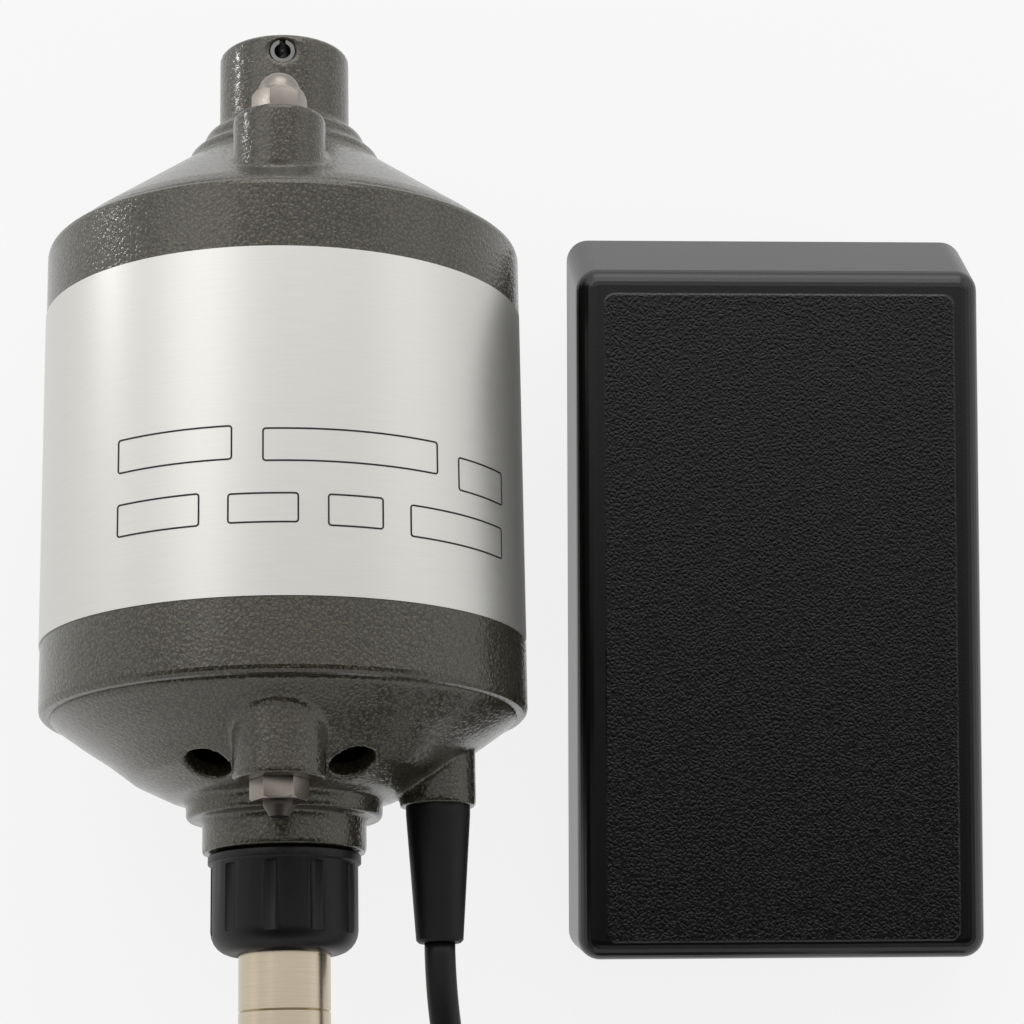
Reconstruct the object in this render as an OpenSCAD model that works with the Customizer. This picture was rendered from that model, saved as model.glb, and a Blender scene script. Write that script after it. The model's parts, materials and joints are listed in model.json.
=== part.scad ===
// Rotary tool with flexible shaft: a hang-up motor laid on the bench, its sheathed
// flexible shaft with a collet handpiece, its mains cord, and a foot pedal beside it.
// +Y runs along the motor towards its hanging stem, +Z is up, and z = 0 is the bench.

/* [Motor housing] */
// Outside diameter of the motor shell
motor_d = 96; // [84:1:120]
// Length of the cylindrical shell
shell_l = 96; // [80:1:120]
// Wall of the steel shell
shell_t = 2.5; // [1.5:0.1:4]
// Rounding of the shell's two edges
shell_edge_r = 1.5; // [0.5:0.1:2]
// Wall of the cast end bells
bell_t = 3.6; // [2.5:0.1:6]
// How far the bells' spigots reach into the shell
spigot_l = 8; // [5:1:12]
// Distance of the tie studs inward from the shell's outside
stud_inset = 15; // [13:0.5:18]
// Radius of the tie studs
stud_r = 3; // [2:0.5:4]
// Radius of the stud bosses on the upper bell
upper_boss_r = 9; // [7:0.1:10]
// Radius of the stud bosses on the lower bell
lower_boss_r = 8.7; // [7:0.1:10]
// Width across flats of the stud nuts
nut_af = 9.6; // [9:0.1:13]
// Diameter of the hanging stem
stem_d = 26.8; // [22:0.2:32]
// Length of the stem above its stepped collars
stem_l = 17.4; // [10:0.2:24]
// Outside diameter of the hollow hanger pin
hanger_pin_d = 5; // [4:0.5:7]
// Bore of the hollow hanger pin
hanger_bore_d = 3.4; // [2.5:0.1:5]
// Diameter of the air vents in the lower bell
vent_d = 8.7; // [5:0.1:10]
// Distance of the cord boss inward from the shell's outside
cord_inset = 18; // [16:0.5:20]
// Height of the metal label band
label_h = 67.5; // [40:0.5:70]
// Thickness of the metal label band
label_t = 0.2; // [0.1:0.05:0.4]

/* [Neck and collar nut] */
// Radius of the first neck ring
ring_r = 19.2; // [18:0.1:22]
// Radius of the neck
neck_r = 16; // [15:0.1:18]
// Radius of the neck's threaded end
stub_r = 12.5; // [11.5:0.1:13]
// Radius of the collar nut's body
nut_r = 14.3; // [14:0.1:17]
// Length of the collar nut
nut_l = 19.3; // [18:0.1:26]
// Number of flutes round the collar nut
flutes = 10; // [6:1:16]
// Diameter of the sheath's steel ferrule
ferrule_d = 17.8; // [16:0.1:20]
// Length of the ferrule outside the nut
ferrule_out_l = 38.1; // [30:0.1:50]

/* [Motor inside] */
// Length of the stator stack
stack_l = 40; // [30:1:50]
// Radius of the armature
armature_r = 25.5; // [22:0.1:28]
// Air gap between the armature and the poles
air_gap = 0.7; // [0.4:0.1:1.2]
// Radius of the armature shaft
shaft_r = 4; // [3:0.5:5]
// Number of armature slots and fan blades
slots = 12; // [8:1:16]

/* [Cords] */
// Diameter of the flexible shaft's sheath
sheath_d = 12; // [10:0.5:12]
// Diameter of the mains cord
cord_d = 6; // [5:0.5:6]
// Length of the tapered cord boot
boot_l = 26.5; // [20:0.5:28.5]
// Thickness of the straps that hold the coils
tie_t = 0.8; // [0.5:0.1:1]

/* [Handpiece] */
// Radius of the handpiece's body
hand_r = 12.5; // [12:0.1:12.9]
// Length of the handpiece's body
hand_body_l = 92; // [80:1:92]
// Diameter of the tool shanks that the collet holds
shank_d = 2.38; // [1.6:0.01:3.2]

/* [Foot pedal] */
// Width of the treadle
treadle_w = 84.5; // [76:0.5:100]
// Length of the treadle
treadle_l = 150; // [120:1:160]
// Wall of the treadle
treadle_t = 2.5; // [2:0.1:3.5]
// Angle of the treadle at rest
treadle_rest = 11.5; // [8:0.5:14]
// How far the treadle swings when it is pressed home
treadle_swing = 7; // [4:0.5:8]
// Lean of the treadle's toe wall
toe_lean = 21; // [5:1:24]
// Turn of the pedal on the bench
pedal_turn = -0.5; // [-10:0.5:10]
// Gap between the motor and the pedal's near side
pedal_gap = 10.2; // [8:0.1:20]
// Diameter of the hinge pin
hinge_pin_d = 4; // [3:0.5:5]

/* [Hidden] */

// Running clearance round turning parts, and the smaller one of seated parts
run_c = 0.06;
seat_c = 0.05;
overlap = 0.01;

motor_r = motor_d / 2;
motor_x = -48;
motor_y = 40;
shell_bore_r = motor_r - shell_t;
seam_r = motor_r - shell_edge_r - 0.3;
stud_at_r = motor_r - stud_inset;
cord_at_r = motor_r - cord_inset;

// Heights along the motor, counted from the shell's lower edge
upper_z = shell_l;
cone_h = 19.7;
collar_z = upper_z + cone_h;
stem_z = collar_z + 8;
stem_top_z = stem_z + stem_l;
hanger_z = stem_top_z - 4;
upper_boss_z = upper_z + 17.5;
bowl_h = 16.5;
ring_z = -bowl_h - 3.3;
neck_z = ring_z - 6.5;
stub_z = neck_z - 14.5;
nut_z = neck_z - 0.3;
nut_end_z = nut_z - nut_l;
lower_boss_z = -17.2;
cord_boss_z = -17.5;
cord_boss_r = 7.5;
ferrule_r = ferrule_d / 2;
ferrule_in_z = neck_z - 0.8;
ferrule_end_z = nut_end_z - ferrule_out_l;
scribe_z = nut_end_z - 10.9;

// Bearings and the armature
upper_brg_r = 9.5;
upper_brg_w = 6;
upper_brg_z = upper_z + 5;
lower_brg_r = 11;
lower_brg_w = 7;
lower_brg_z = -9;
journal_r = shaft_r - 0.5;
neck_bore_r = 10.5;
coupling_r = 8;
coupling_l = 15;
coupling_z = lower_brg_z - 1 - coupling_l;
core_r = 2.2;
stack_z = 24;
winding_l = 9;
commutator_r = 13;
commutator_z = stack_z + stack_l + winding_l + 1;
commutator_l = 13;
brush_w = 6;
brush_h = 7;
brush_l = 14;
brush_z = commutator_z + commutator_l / 2;
holder_wall = 1.2;
holder_end_r = 36;
brush_ring_z = brush_z + brush_h / 2 + holder_wall;
brush_ring_t = upper_z - spigot_l - brush_ring_z;
yoke_t = 7.4;
pole_half_w = 13;
shoe_t = 4.8;
fan_z = 4;
fan_h = 9;
fan_r = 28.5;

// Routes of the free stretches of sheath and cord, end to end along their centrelines
sheath_run = [[-48, -44, 48], [-48, -54, 48], [-48, -64, 48], [-48, -71, 47.2],
    [-48, -78, 45.4], [-48, -85, 42.7], [-46.75, -96.7, 37.6], [-43.05, -108.9, 32],
    [-37.05, -120.1, 25.8], [-28.95, -130, 19.9], [-19.1, -138.05, 14.6],
    [-7.9, -144.05, 10.4], [0, -146.9, 7.9],
    [7.5, -148.55, 7.1], [12.5, -149, 6.85], [17, -149, 6.8]];
sheath_tail = [[-30.6, -264, 19.4], [-37.7, -256.9, 19.4], [-47.6, -247, 19.4],
    [-57.5, -237.1, 19.3], [-66.4, -228.2, 18.7], [-73.9, -219.1, 17.2],
    [-79.4, -208.8, 15.4], [-82.85, -197.5, 13.7], [-84, -185.8, 12.6], [-84, -180, 12.5]];
cord_run = [[-18, -4, 48], [-18, -10, 48], [-17.5, -17, 47.2], [-16.3, -25, 44.8],
    [-15.2, -33.5, 40.2], [-14.5, -41, 33.8], [-14.2, -47, 26], [-14.3, -53, 17.6],
    [-14.6, -60.5, 10.4], [-15, -68.5, 5.7], [-15, -75, 4], [-15, -79, 3.8]];
cord_tail = [[34, -128, 10.4], [41, -128, 10.4], [48, -128, 9.7], [54, -128, 8.2],
    [63.3, -126.8, 5.4], [72, -123.2, 3.3], [79.5, -117.5, 3], [85.2, -110, 3.1],
    [88.8, -101.3, 4.6], [90, -92, 7], [90, -87, 7.8], [90, -83, 8]];

// Coils: place, radius of the outer loop, turns, angle where they start, and which way
// they are wound
sheath_coil_at = [21, -218];
sheath_coil_r = 69;
sheath_coil_turns = 2.625;
sheath_coil_start = 90;
cord_coil_at = [30, -83];
cord_coil_r = 45;
cord_coil_turns = 6.25;
cord_coil_start = 180;
clockwise = -1;
anticlockwise = 1;
loop_gap = 0.6;
coil_lead = 4;
loop_sides = 6;
loop_rings = 24;
run_sides = 8;

// Handpiece, from its rear end
hand_x = -84;
hand_y = -180;
socket_l = 26;
socket_r = 9.5;
socket_in = 8;
nose_l = 14;
spindle_r = 4;
hand_brg_r = 9.5;
hand_brg_w = 6;
rear_brg_z = socket_l + 8;
front_brg_z = socket_l - socket_in + hand_body_l - hand_brg_w - 4;
body_z = socket_l - socket_in;
nose_z = body_z + hand_body_l;
spindle_end_z = nose_z + nose_l + 6;
collet_nut_l = 16;
collet_nut_z = nose_z + nose_l + 1;
collet_r = 3.2;
collet_l = 22;

// Plug
plug_at = cord_tail[len(cord_tail) - 1];
plug_l = 34;
plug_w = 24;
plug_h = 15.8;
blade_l = 17;
blade_gap = 12.7;

// Pedal, from the hinge axis: +Y towards the toe
hinge_h = 13;
heel_y = -11;
toe_y = treadle_l + heel_y;
top_h = 15;
skirt_h = 7;
treadle_r = 4.5;
side_lean = 1.5;
toe_inset = (top_h + skirt_h) * tan(toe_lean);
side_inset = (top_h + skirt_h) * tan(side_lean);
side_gap = 1.8;
base_half_w = treadle_w / 2 - treadle_t - side_gap;
base_wall = 2.2;
foot_h = 3;
base_z = foot_h - hinge_h;
plate_t = 1.4;
plate_z = base_z + plate_t;
floor_z = plate_z + 1.6;
base_heel_y = -5.5;
base_toe_y = toe_y - 6;
pressed = treadle_rest - treadle_swing;
base_heel_z = 6;
base_toe_z = base_heel_z + (base_toe_y - base_heel_y) * tan(pressed) + 3;
ear_x = 29;
ear_t = 4;
ear_r = 5;
ear_gap = 1;
lug_t = 4;
pin_half_l = ear_x + ear_t / 2 + lug_t + 1;
pad_z = 10;
plunger_y = 58;
plunger_r = 2.5;
plunger_top = pad_height(treadle_rest) - 0.2;
plunger_end = floor_z + 2.4 + pad_height(treadle_rest) - pad_height(pressed);
control_top = 7;
spring_boss_y = 98;
spring_boss_r = 7;
spring_boss_z = 9.5;
spring_y = spring_boss_y * cos(treadle_rest) - spring_boss_z * sin(treadle_rest);
spring_top = spring_boss_z * cos(treadle_rest)
    + (spring_boss_y - spring_boss_r) * sin(treadle_rest) - 0.1;
gland_y = 25;
gland_r = 5;
pedal_x = motor_x + motor_r + pedal_gap + treadle_w / 2;
pedal_y = motor_y - 32.4;

// Height of the treadle's pad over the plunger at an angle of the treadle
function pad_height(a) = (pad_z + plunger_y * sin(a)) / cos(a);

// ---- Placing ----

// Motor frame: +Z towards the stem, -Y is the labelled front, which lies upwards
module in_motor() {
    translate([motor_x, motor_y, motor_r]) rotate([-90, 0, 0]) children();
}

// Handpiece frame: +Z runs from the sheath to the collet
module in_hand() {
    translate([hand_x, hand_y, hand_r]) rotate([-90, 0, 0]) children();
}

// Pedal frame: the hinge axis is the origin
module in_pedal() {
    translate([pedal_x, pedal_y, hinge_h]) rotate([0, 0, pedal_turn]) children();
}

// ---- Shared shapes ----

module disc(r, z0, z1) {
    translate([0, 0, z0]) cylinder(r = r, h = z1 - z0, $fn = 96);
}

module ring(r_out, r_in, z0, z1) {
    difference() {
        disc(r_out, z0, z1);
        disc(r_in, z0 - 1, z1 + 1);
    }
}

module at_studs() {
    for (side = [-1, 1]) translate([0, side * stud_at_r, 0]) children();
}

module ball_bearing(r_out, r_in, w) {
    groove = 0.5;
    difference() {
        disc(r_out, 0, w);
        disc(r_in, -1, w + 1);
        for (z = [-1, w - groove])
            ring(r_out - 1.8, r_in + 1.5, z, z + 1 + groove);
    }
}

// Points on an arc in the plane, for turned profiles
function arc(cx, cy, r, a0, a1, n) =
    [for (i = [0:n]) let (a = a0 + (a1 - a0) * i / n) [cx + r * cos(a), cy + r * sin(a)]];

// ---- Tubes along a path ----

function unit(v) = v / norm(v);
function heading(p, i) = let (n = len(p)) unit(p[min(i + 1, n - 1)] - p[max(i - 1, 0)]);
function tube_ring(c, t, r, sides) =
    let (s = unit(cross(t, [0, 0, 1])), u = cross(s, t))
    [for (k = [0:sides - 1]) let (a = 90 + 360 * k / sides) c + r * (cos(a) * s + sin(a) * u)];

module tube(path, d, sides) {
    n = len(path);
    points = [for (i = [0:n - 1]) each tube_ring(path[i], heading(path, i), d / 2, sides)];
    skin = [for (i = [0:n - 2], k = [0:sides - 1])
        let (a = i * sides + k, b = i * sides + (k + 1) % sides)
        each [[a, b, b + sides], [a, b + sides, a + sides]]];
    last = (n - 1) * sides;
    caps = [for (k = [1:sides - 2]) each [[0, k + 1, k], [last, last + k, last + k + 1]]];
    polyhedron(points, concat(skin, caps));
}

// Piled loops: spiral in on the bench, climb a layer, and spiral out again on top
function loop_radius(t, turns, r, step) = r - step * min(t, turns - t);
function loop_height(t, turns, z, step) =
    z + step * min(1, max(0, (t - turns / 2 + 0.25) / 0.5));
function loops(at, r, d, turns, start, way) =
    let (step = d + loop_gap, z = tie_t + d / 2, n = round(turns * loop_rings))
    [for (i = [0:n]) let (t = i * turns / n, a = start + way * 360 * t,
        q = loop_radius(t, turns, r, step))
        [at[0] + q * cos(a), at[1] + q * sin(a), loop_height(t, turns, z, step)]];
function along(a, way) = way * coil_lead * [-sin(a), cos(a), 0];
function coil(at, r, d, turns, start, way) =
    let (p = loops(at, r, d, turns, start, way), n = len(p))
    concat([p[0] - along(start, way)], p, [p[n - 1] + along(start + way * 360 * turns, way)]);
function least_gap(p, d) = min([for (i = [0:len(p) - 1])
    for (j = [i + 8:1:len(p) - 1]) norm(p[i] - p[j])]) - d;

sheath_loops = coil(sheath_coil_at, sheath_coil_r, sheath_d, sheath_coil_turns,
    sheath_coil_start, clockwise);
cord_loops = coil(cord_coil_at, cord_coil_r, cord_d, cord_coil_turns, cord_coil_start,
    anticlockwise);
echo(least_gap_of_sheath_coil = least_gap(sheath_loops, sheath_d));
echo(least_gap_of_cord_coil = least_gap(cord_loops, cord_d));

// Strap round all the loops of a coil, at one place on it
module coil_strap(at, r, d, turns, angle, w) {
    step = d + loop_gap;
    low = r - step * turns / 2 - d / 2 - 1;
    high = r + d / 2 + 0.3;
    top = tie_t + 2 * d + loop_gap + 0.3;
    translate([at[0], at[1], 0]) rotate([0, 0, angle]) difference() {
        translate([low - tie_t, -w / 2, 0]) cube([high - low + 2 * tie_t, w, top + tie_t]);
        translate([low, -w, tie_t]) cube([high - low, 2 * w, top - tie_t]);
    }
}

// Open helical spring standing on z = 0
module spring(r, wire, height, curls) {
    rings = 8;
    rise = height - wire;
    helix = [for (i = [0:curls * rings]) let (a = 360 * i / rings)
        [r * cos(a), r * sin(a), wire / 2 + rise * i / (curls * rings)]];
    n = len(helix);
    path = concat([helix[0] - [0, wire, 0]], helix, [helix[n - 1] + [0, wire, 0]]);
    tube(path, wire, 6);
}

// ---- Motor housing ----

module stud_hole(z0, z1) {
    at_studs() disc(stud_r + 0.2, z0, z1);
}

module upper_bell() {
    wall = bell_t;
    stem_r = stem_d / 2;
    flat_r = ring_r + 0.8;
    outer = [[0, stem_top_z], [stem_r - 1, stem_top_z], [stem_r, stem_top_z - 1],
        [stem_r, stem_z], [stem_r + 2.4, stem_z - 1.1], [stem_r + 3.1, stem_z - 2.2],
        [stem_r + 3.6, stem_z - 4.4], [flat_r - 1.3, stem_z - 5.2], [flat_r - 0.5, stem_z - 6],
        [flat_r, collar_z], [seam_r - 3, upper_z + 3], [seam_r - 0.8, upper_z + 1],
        [seam_r, upper_z]];
    inner = [[shell_bore_r - seat_c, upper_z], [shell_bore_r - seat_c, upper_z - spigot_l],
        [shell_bore_r - wall, upper_z - spigot_l], [shell_bore_r - wall, upper_z - 1],
        [seam_r - 10, upper_z + 3.6], [flat_r + 4, collar_z - 2.8 - wall * 1.3],
        [upper_brg_r + 4, collar_z - 2.5 - wall * 1.3], [upper_brg_r + 4, upper_brg_z],
        [upper_brg_r, upper_brg_z], [upper_brg_r, upper_brg_z + upper_brg_w],
        [journal_r + 1.5, upper_brg_z + upper_brg_w], [journal_r + 1.5, upper_brg_z + 9],
        [0, upper_brg_z + 9]];
    in_motor() color("#4b4b44") difference() {
        union() {
            rotate_extrude($fn = 96) polygon(concat(outer, inner));
            at_studs() disc(upper_boss_r, upper_z + 5, upper_boss_z);
        }
        stud_hole(upper_z - spigot_l - 1, upper_boss_z + 1);
        translate([0, 0, hanger_z]) rotate([90, 0, 0])
            cylinder(d = hanger_pin_d, h = stem_d + 4, center = true, $fn = 48);
    }
}

module motor_shell() {
    e = shell_edge_r;
    half = concat([[shell_bore_r, 0], [seam_r, 0]], arc(motor_r - e, e, e, -90, 0, 3),
        arc(motor_r - e, shell_l - e, e, 0, 90, 3), [[seam_r, shell_l], [shell_bore_r, shell_l]]);
    in_motor() color("#4b4b44") rotate_extrude($fn = 96) polygon(half);
}

module cord_hole_tool() {
    translate([cord_at_r, 0, 0]) disc(cord_d / 2 + 0.2, cord_boss_z - 1, 0);
}

module lower_bell() {
    wall = bell_t;
    rim = [[shell_bore_r - seat_c, 0], [seam_r, 0]];
    outer = [[seam_r - 1.2, -1], [40, -4.6], [34.6, -8.2], [29.7, -12],
        [22.7, -15.4], [ring_r + 0.8, -bowl_h + 0.3], [ring_r, -bowl_h - 0.3],
        [ring_r, ring_z + 0.5], [ring_r - 0.5, ring_z], [neck_r + 0.5, ring_z],
        [neck_r, ring_z - 0.5], [neck_r, neck_z], [stub_r, neck_z], [stub_r, stub_z]];
    bore = [[ferrule_r + seat_c, stub_z], [ferrule_r + seat_c, ferrule_in_z],
        [neck_bore_r, ferrule_in_z], [neck_bore_r, lower_brg_z],
        [lower_brg_r, lower_brg_z], [lower_brg_r, lower_brg_z + lower_brg_w],
        [lower_brg_r + 3.5, lower_brg_z + lower_brg_w], [lower_brg_r + 4.5, -12],
        [22.7, -15.4 + wall * 1.15], [29.7, -12 + wall * 1.2], [34.6, -8.2 + wall * 1.28],
        [40, -4.6 + wall * 1.28], [shell_bore_r - wall, 1], [shell_bore_r - wall, spigot_l - 5],
        [shell_bore_r - seat_c, spigot_l - 5]];
    in_motor() color("#4b4b44") difference() {
        union() {
            rotate_extrude($fn = 96) polygon(concat(rim, outer, bore));
            difference() {
                union() {
                    at_studs() disc(lower_boss_r, lower_boss_z, -2);
                    translate([cord_at_r, 0, 0]) disc(cord_boss_r, cord_boss_z, -4);
                }
                disc(neck_r - 1, -40, 1);
            }
        }
        stud_hole(lower_boss_z - 1, spigot_l);
        cord_hole_tool();
        for (side = [-1, 1], half = [0, 180])
            rotate([0, 0, half + 90 + side * 29]) translate([stud_at_r - 5, 0, -12.8])
                rotate([0, -35, 0]) cylinder(d = vent_d, h = 16, center = true, $fn = 48);
    }
}

module nameplate() {
    mid = shell_l / 2;
    in_motor() color("#c9c9c6") rotate([0, 0, 170]) rotate_extrude(angle = 182, $fn = 96)
        translate([motor_r, mid - label_h / 2]) square([label_t, label_h]);
}

module hanger_pin() {
    slot = 1.3;
    in_motor() color("#8d8f90") translate([0, 0, hanger_z]) rotate([90, 0, 0]) difference() {
        cylinder(d = hanger_pin_d, h = stem_d - 1, center = true, $fn = 48);
        cylinder(d = hanger_bore_d, h = stem_d + 2, center = true, $fn = 48);
        translate([-slot / 2, 0, -stem_d / 2]) cube([slot, hanger_pin_d, stem_d]);
    }
}

module tie_studs() {
    tip = 6.8;
    in_motor() color("#b7b2a8") at_studs() {
        disc(stud_r, lower_boss_z - tip + 2, upper_boss_z + 4);
        translate([0, 0, lower_boss_z - tip])
            cylinder(r1 = stud_r - 1.2, r2 = stud_r, h = 2, $fn = 48);
    }
}

module hex_blank(h) {
    intersection() {
        cylinder(d = nut_af / cos(30), h = h, $fn = 6);
        cylinder(r1 = nut_af / 2 + 0.2, r2 = nut_af / 2 + 0.2 + h, h = h, $fn = 48);
    }
}

module cap_nuts() {
    hex_h = 5.4;
    in_motor() color("#b9b0aa") at_studs() translate([0, 0, upper_boss_z]) difference() {
        union() {
            rotate([0, 0, 12]) intersection() {
                cylinder(d = nut_af / cos(30), h = hex_h, $fn = 6);
                translate([0, 0, -3]) cylinder(r1 = nut_af / 2 + 6, r2 = nut_af / 2, h = hex_h + 3,
                    $fn = 48);
            }
            rotate_extrude($fn = 48) polygon(concat([[0, 0]],
                [[nut_af / 2 - 0.4, 0]], [[nut_af / 2 - 0.4, hex_h]],
                arc(0, hex_h, nut_af / 2 - 0.6, 0, 90, 6)));
        }
        disc(stud_r, -1, 4);
    }
}

module stud_nuts() {
    hex_h = 4;
    in_motor() color("#b9b0aa") at_studs() translate([0, 0, lower_boss_z - hex_h]) difference() {
        hex_blank(hex_h);
        disc(stud_r, -1, hex_h + 1);
    }
}

// ---- Motor inside ----

module pole_sector(r, half_angle) {
    far = r / cos(half_angle) + 1;
    polygon([[0, 0], [far * sin(half_angle), far * cos(half_angle)],
        [0, far], [-far * sin(half_angle), far * cos(half_angle)]]);
}

module stator_core() {
    bore_r = armature_r + air_gap;
    yoke_r = shell_bore_r - yoke_t;
    shoe_r = bore_r + shoe_t;
    in_motor() color("#6c6e70") translate([0, 0, stack_z]) linear_extrude(stack_l) {
        difference() {
            circle(r = shell_bore_r - seat_c, $fn = 96);
            circle(r = yoke_r, $fn = 96);
            for (side = [-1, 1]) translate([0, side * stud_at_r])
                circle(r = stud_r + 0.4, $fn = 32);
        }
        for (turn = [0, 180]) rotate(turn) difference() {
            union() {
                intersection() {
                    circle(r = shoe_r, $fn = 96);
                    pole_sector(bore_r, 58);
                }
                translate([-pole_half_w, 0]) square([2 * pole_half_w, yoke_r + 0.5]);
            }
            circle(r = bore_r, $fn = 96);
            translate([0, stud_at_r]) circle(r = stud_r + 0.4, $fn = 32);
        }
    }
}

module field_coils() {
    yoke_r = shell_bore_r - yoke_t;
    shoe_r = armature_r + air_gap + shoe_t;
    inner_w = 2 * pole_half_w + 0.4;
    coil_w = inner_w + 22;
    in_motor() color("#8a4b2a") for (turn = [0, 180]) rotate([0, 0, turn]) intersection() {
        ring(yoke_r - 0.2, shoe_r + 0.2, stack_z - winding_l, stack_z + stack_l + winding_l);
        difference() {
            translate([-coil_w / 2, 0, stack_z - winding_l])
                cube([coil_w, motor_r, stack_l + 2 * winding_l]);
            translate([-inner_w / 2, -1, stack_z - 0.2])
                cube([inner_w, motor_r + 2, stack_l + 0.4]);
            translate([0, stud_at_r, 0]) disc(stud_r + 0.3, 0, shell_l);
        }
    }
}

module brush_ring() {
    in_motor() color("#5a3b22") difference() {
        ring(shell_bore_r - seat_c, commutator_r + 7, brush_ring_z, brush_ring_z + brush_ring_t);
        stud_hole(brush_ring_z - 1, brush_ring_z + brush_ring_t + 1);
    }
}

// The right brush gear is at 0 degrees and the left at 180
module at_brush(turn) {
    rotate([0, 0, turn]) translate([0, 0, brush_z]) children();
}

module brush_holders() {
    w = brush_w + 2 * holder_wall;
    h = brush_h + 2 * holder_wall;
    in_motor() color("#b08d3f") for (turn = [0, 180]) at_brush(turn) difference() {
        translate([commutator_r + 2, -w / 2, -h / 2])
            cube([holder_end_r - commutator_r - 2, w, h]);
        translate([commutator_r, -brush_w / 2 - 0.1, -brush_h / 2 - 0.1])
            cube([holder_end_r - commutator_r - 1.2, brush_w + 0.2, brush_h + 0.2]);
    }
}

module carbon_brush(turn) {
    in_motor() color("#2c2c2e") at_brush(turn) difference() {
        translate([0, -brush_w / 2, -brush_h / 2])
            cube([commutator_r + brush_l, brush_w, brush_h]);
        translate([0, 0, -brush_h]) cylinder(r = commutator_r + 0.05, h = 2 * brush_h, $fn = 96);
    }
}

module brush_spring(turn) {
    start = commutator_r + brush_l;
    in_motor() color("#9a9a96") at_brush(turn) translate([start, 0, 0]) rotate([0, 90, 0])
        spring(2.2, 0.7, holder_end_r - 1.2 - start, 4);
}

module upper_bearing() {
    in_motor() color("#aeb2b5") translate([0, 0, upper_brg_z])
        ball_bearing(upper_brg_r, journal_r + run_c, upper_brg_w);
}

module lower_bearing() {
    in_motor() color("#aeb2b5") translate([0, 0, lower_brg_z])
        ball_bearing(lower_brg_r, shaft_r + run_c, lower_brg_w);
}

module armature_shaft() {
    in_motor() color("#9da0a2") {
        disc(shaft_r, coupling_z + 5, upper_brg_z - 0.5);
        disc(journal_r, upper_brg_z - 0.5, upper_brg_z + upper_brg_w + 1.5);
    }
}

module armature_core() {
    slot_r = 2.6;
    slot_at = armature_r - 4.4;
    in_motor() color("#77797b") translate([0, 0, stack_z]) linear_extrude(stack_l) difference() {
        circle(r = armature_r, $fn = 96);
        circle(r = shaft_r, $fn = 48);
        for (i = [0:slots - 1]) rotate(360 * i / slots) {
            translate([slot_at, 0]) circle(r = slot_r, $fn = 32);
            translate([slot_at, -0.8]) square([armature_r, 1.6]);
        }
    }
}

module armature_windings() {
    bar_r = 2.5;
    bar_at = armature_r - 4.4;
    end_r = armature_r - 2;
    in_motor() color("#a5552b") {
        for (i = [0:slots - 1]) rotate([0, 0, 360 * i / slots]) translate([bar_at, 0, 0])
            disc(bar_r, stack_z - 1, stack_z + stack_l + 1);
        for (z = [stack_z - winding_l + 1, stack_z + stack_l]) translate([0, 0, z])
            rotate_extrude($fn = 64) polygon([[shaft_r, 0], [end_r - 2, 0], [end_r, 2],
                [end_r, winding_l - 3], [end_r - 2, winding_l - 1], [shaft_r, winding_l - 1]]);
    }
}

module commutator() {
    in_motor() color("#b87333") difference() {
        union() {
            disc(commutator_r, commutator_z, commutator_z + commutator_l);
            disc(commutator_r + 1.2, commutator_z - 1, commutator_z + 0.6);
        }
        disc(shaft_r, commutator_z - 2, commutator_z + commutator_l + 1);
        for (i = [0:2 * slots - 1]) rotate([0, 0, 180 * i / slots])
            translate([commutator_r - 0.6, -0.2, commutator_z + 1])
                cube([2, 0.4, commutator_l]);
    }
}

module cooling_fan() {
    hub_r = 10;
    in_motor() color("#3a3c3e") difference() {
        union() {
            disc(hub_r, fan_z, fan_z + fan_h);
            disc(fan_r, fan_z + fan_h - 1.2, fan_z + fan_h);
            for (i = [0:slots - 1]) rotate([0, 0, 360 * i / slots])
                translate([hub_r - 1, -0.7, fan_z]) cube([fan_r - hub_r, 1.4, fan_h]);
        }
        disc(shaft_r, fan_z - 1, fan_z + fan_h + 1);
    }
}

module drive_coupling() {
    key = 3.6;
    in_motor() color("#85888b") difference() {
        disc(coupling_r, coupling_z, coupling_z + coupling_l);
        disc(shaft_r, coupling_z + 5, coupling_z + coupling_l + 1);
        translate([-key / 2, -key / 2, coupling_z - 1]) cube([key, key, 6]);
    }
}

module core_drive_end() {
    key = 3.5;
    in_motor() color("#7d8083") {
        translate([-key / 2, -key / 2, coupling_z]) cube([key, key, 4.8]);
        disc(core_r, ferrule_in_z - 14, coupling_z);
    }
}

module collar_nut() {
    lip_z = stub_z - 0.5;
    flute_r = 1.7;
    outer = concat([[nut_r + 0.2, nut_z], [nut_r + 0.6, nut_z - 0.4], [nut_r + 0.6, nut_z - 1.8],
        [nut_r, nut_z - 2.2]], arc(nut_r - 4.5, nut_end_z + 4.5, 4.5, 0, -76, 5),
        [[ferrule_r + run_c, nut_end_z]]);
    inner = [[ferrule_r + run_c, lip_z], [stub_r + run_c, lip_z], [stub_r + run_c, nut_z]];
    in_motor() color("#28292a") difference() {
        rotate_extrude($fn = 96) polygon(concat(outer, inner));
        for (i = [0:flutes - 1]) rotate([0, 0, 360 * i / flutes + 9])
            translate([nut_r + 0.95, 0, 0]) disc(flute_r, nut_end_z + 3.6, nut_z - 2.6);
    }
}

module sheath_ferrule() {
    groove = 0.25;
    r = ferrule_r;
    outer = [[r, ferrule_in_z], [r, scribe_z + groove], [r - groove, scribe_z],
        [r, scribe_z - groove], [r, ferrule_end_z + 0.6], [r - 0.6, ferrule_end_z]];
    bore = sheath_d / 2 + 0.3;
    in_motor() color("#c7bcae") rotate_extrude($fn = 96)
        polygon(concat(outer, [[core_r + 0.8, ferrule_end_z], [core_r + 0.8, ferrule_end_z + 4],
            [bore, ferrule_end_z + 4], [bore, ferrule_in_z]]));
}

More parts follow.
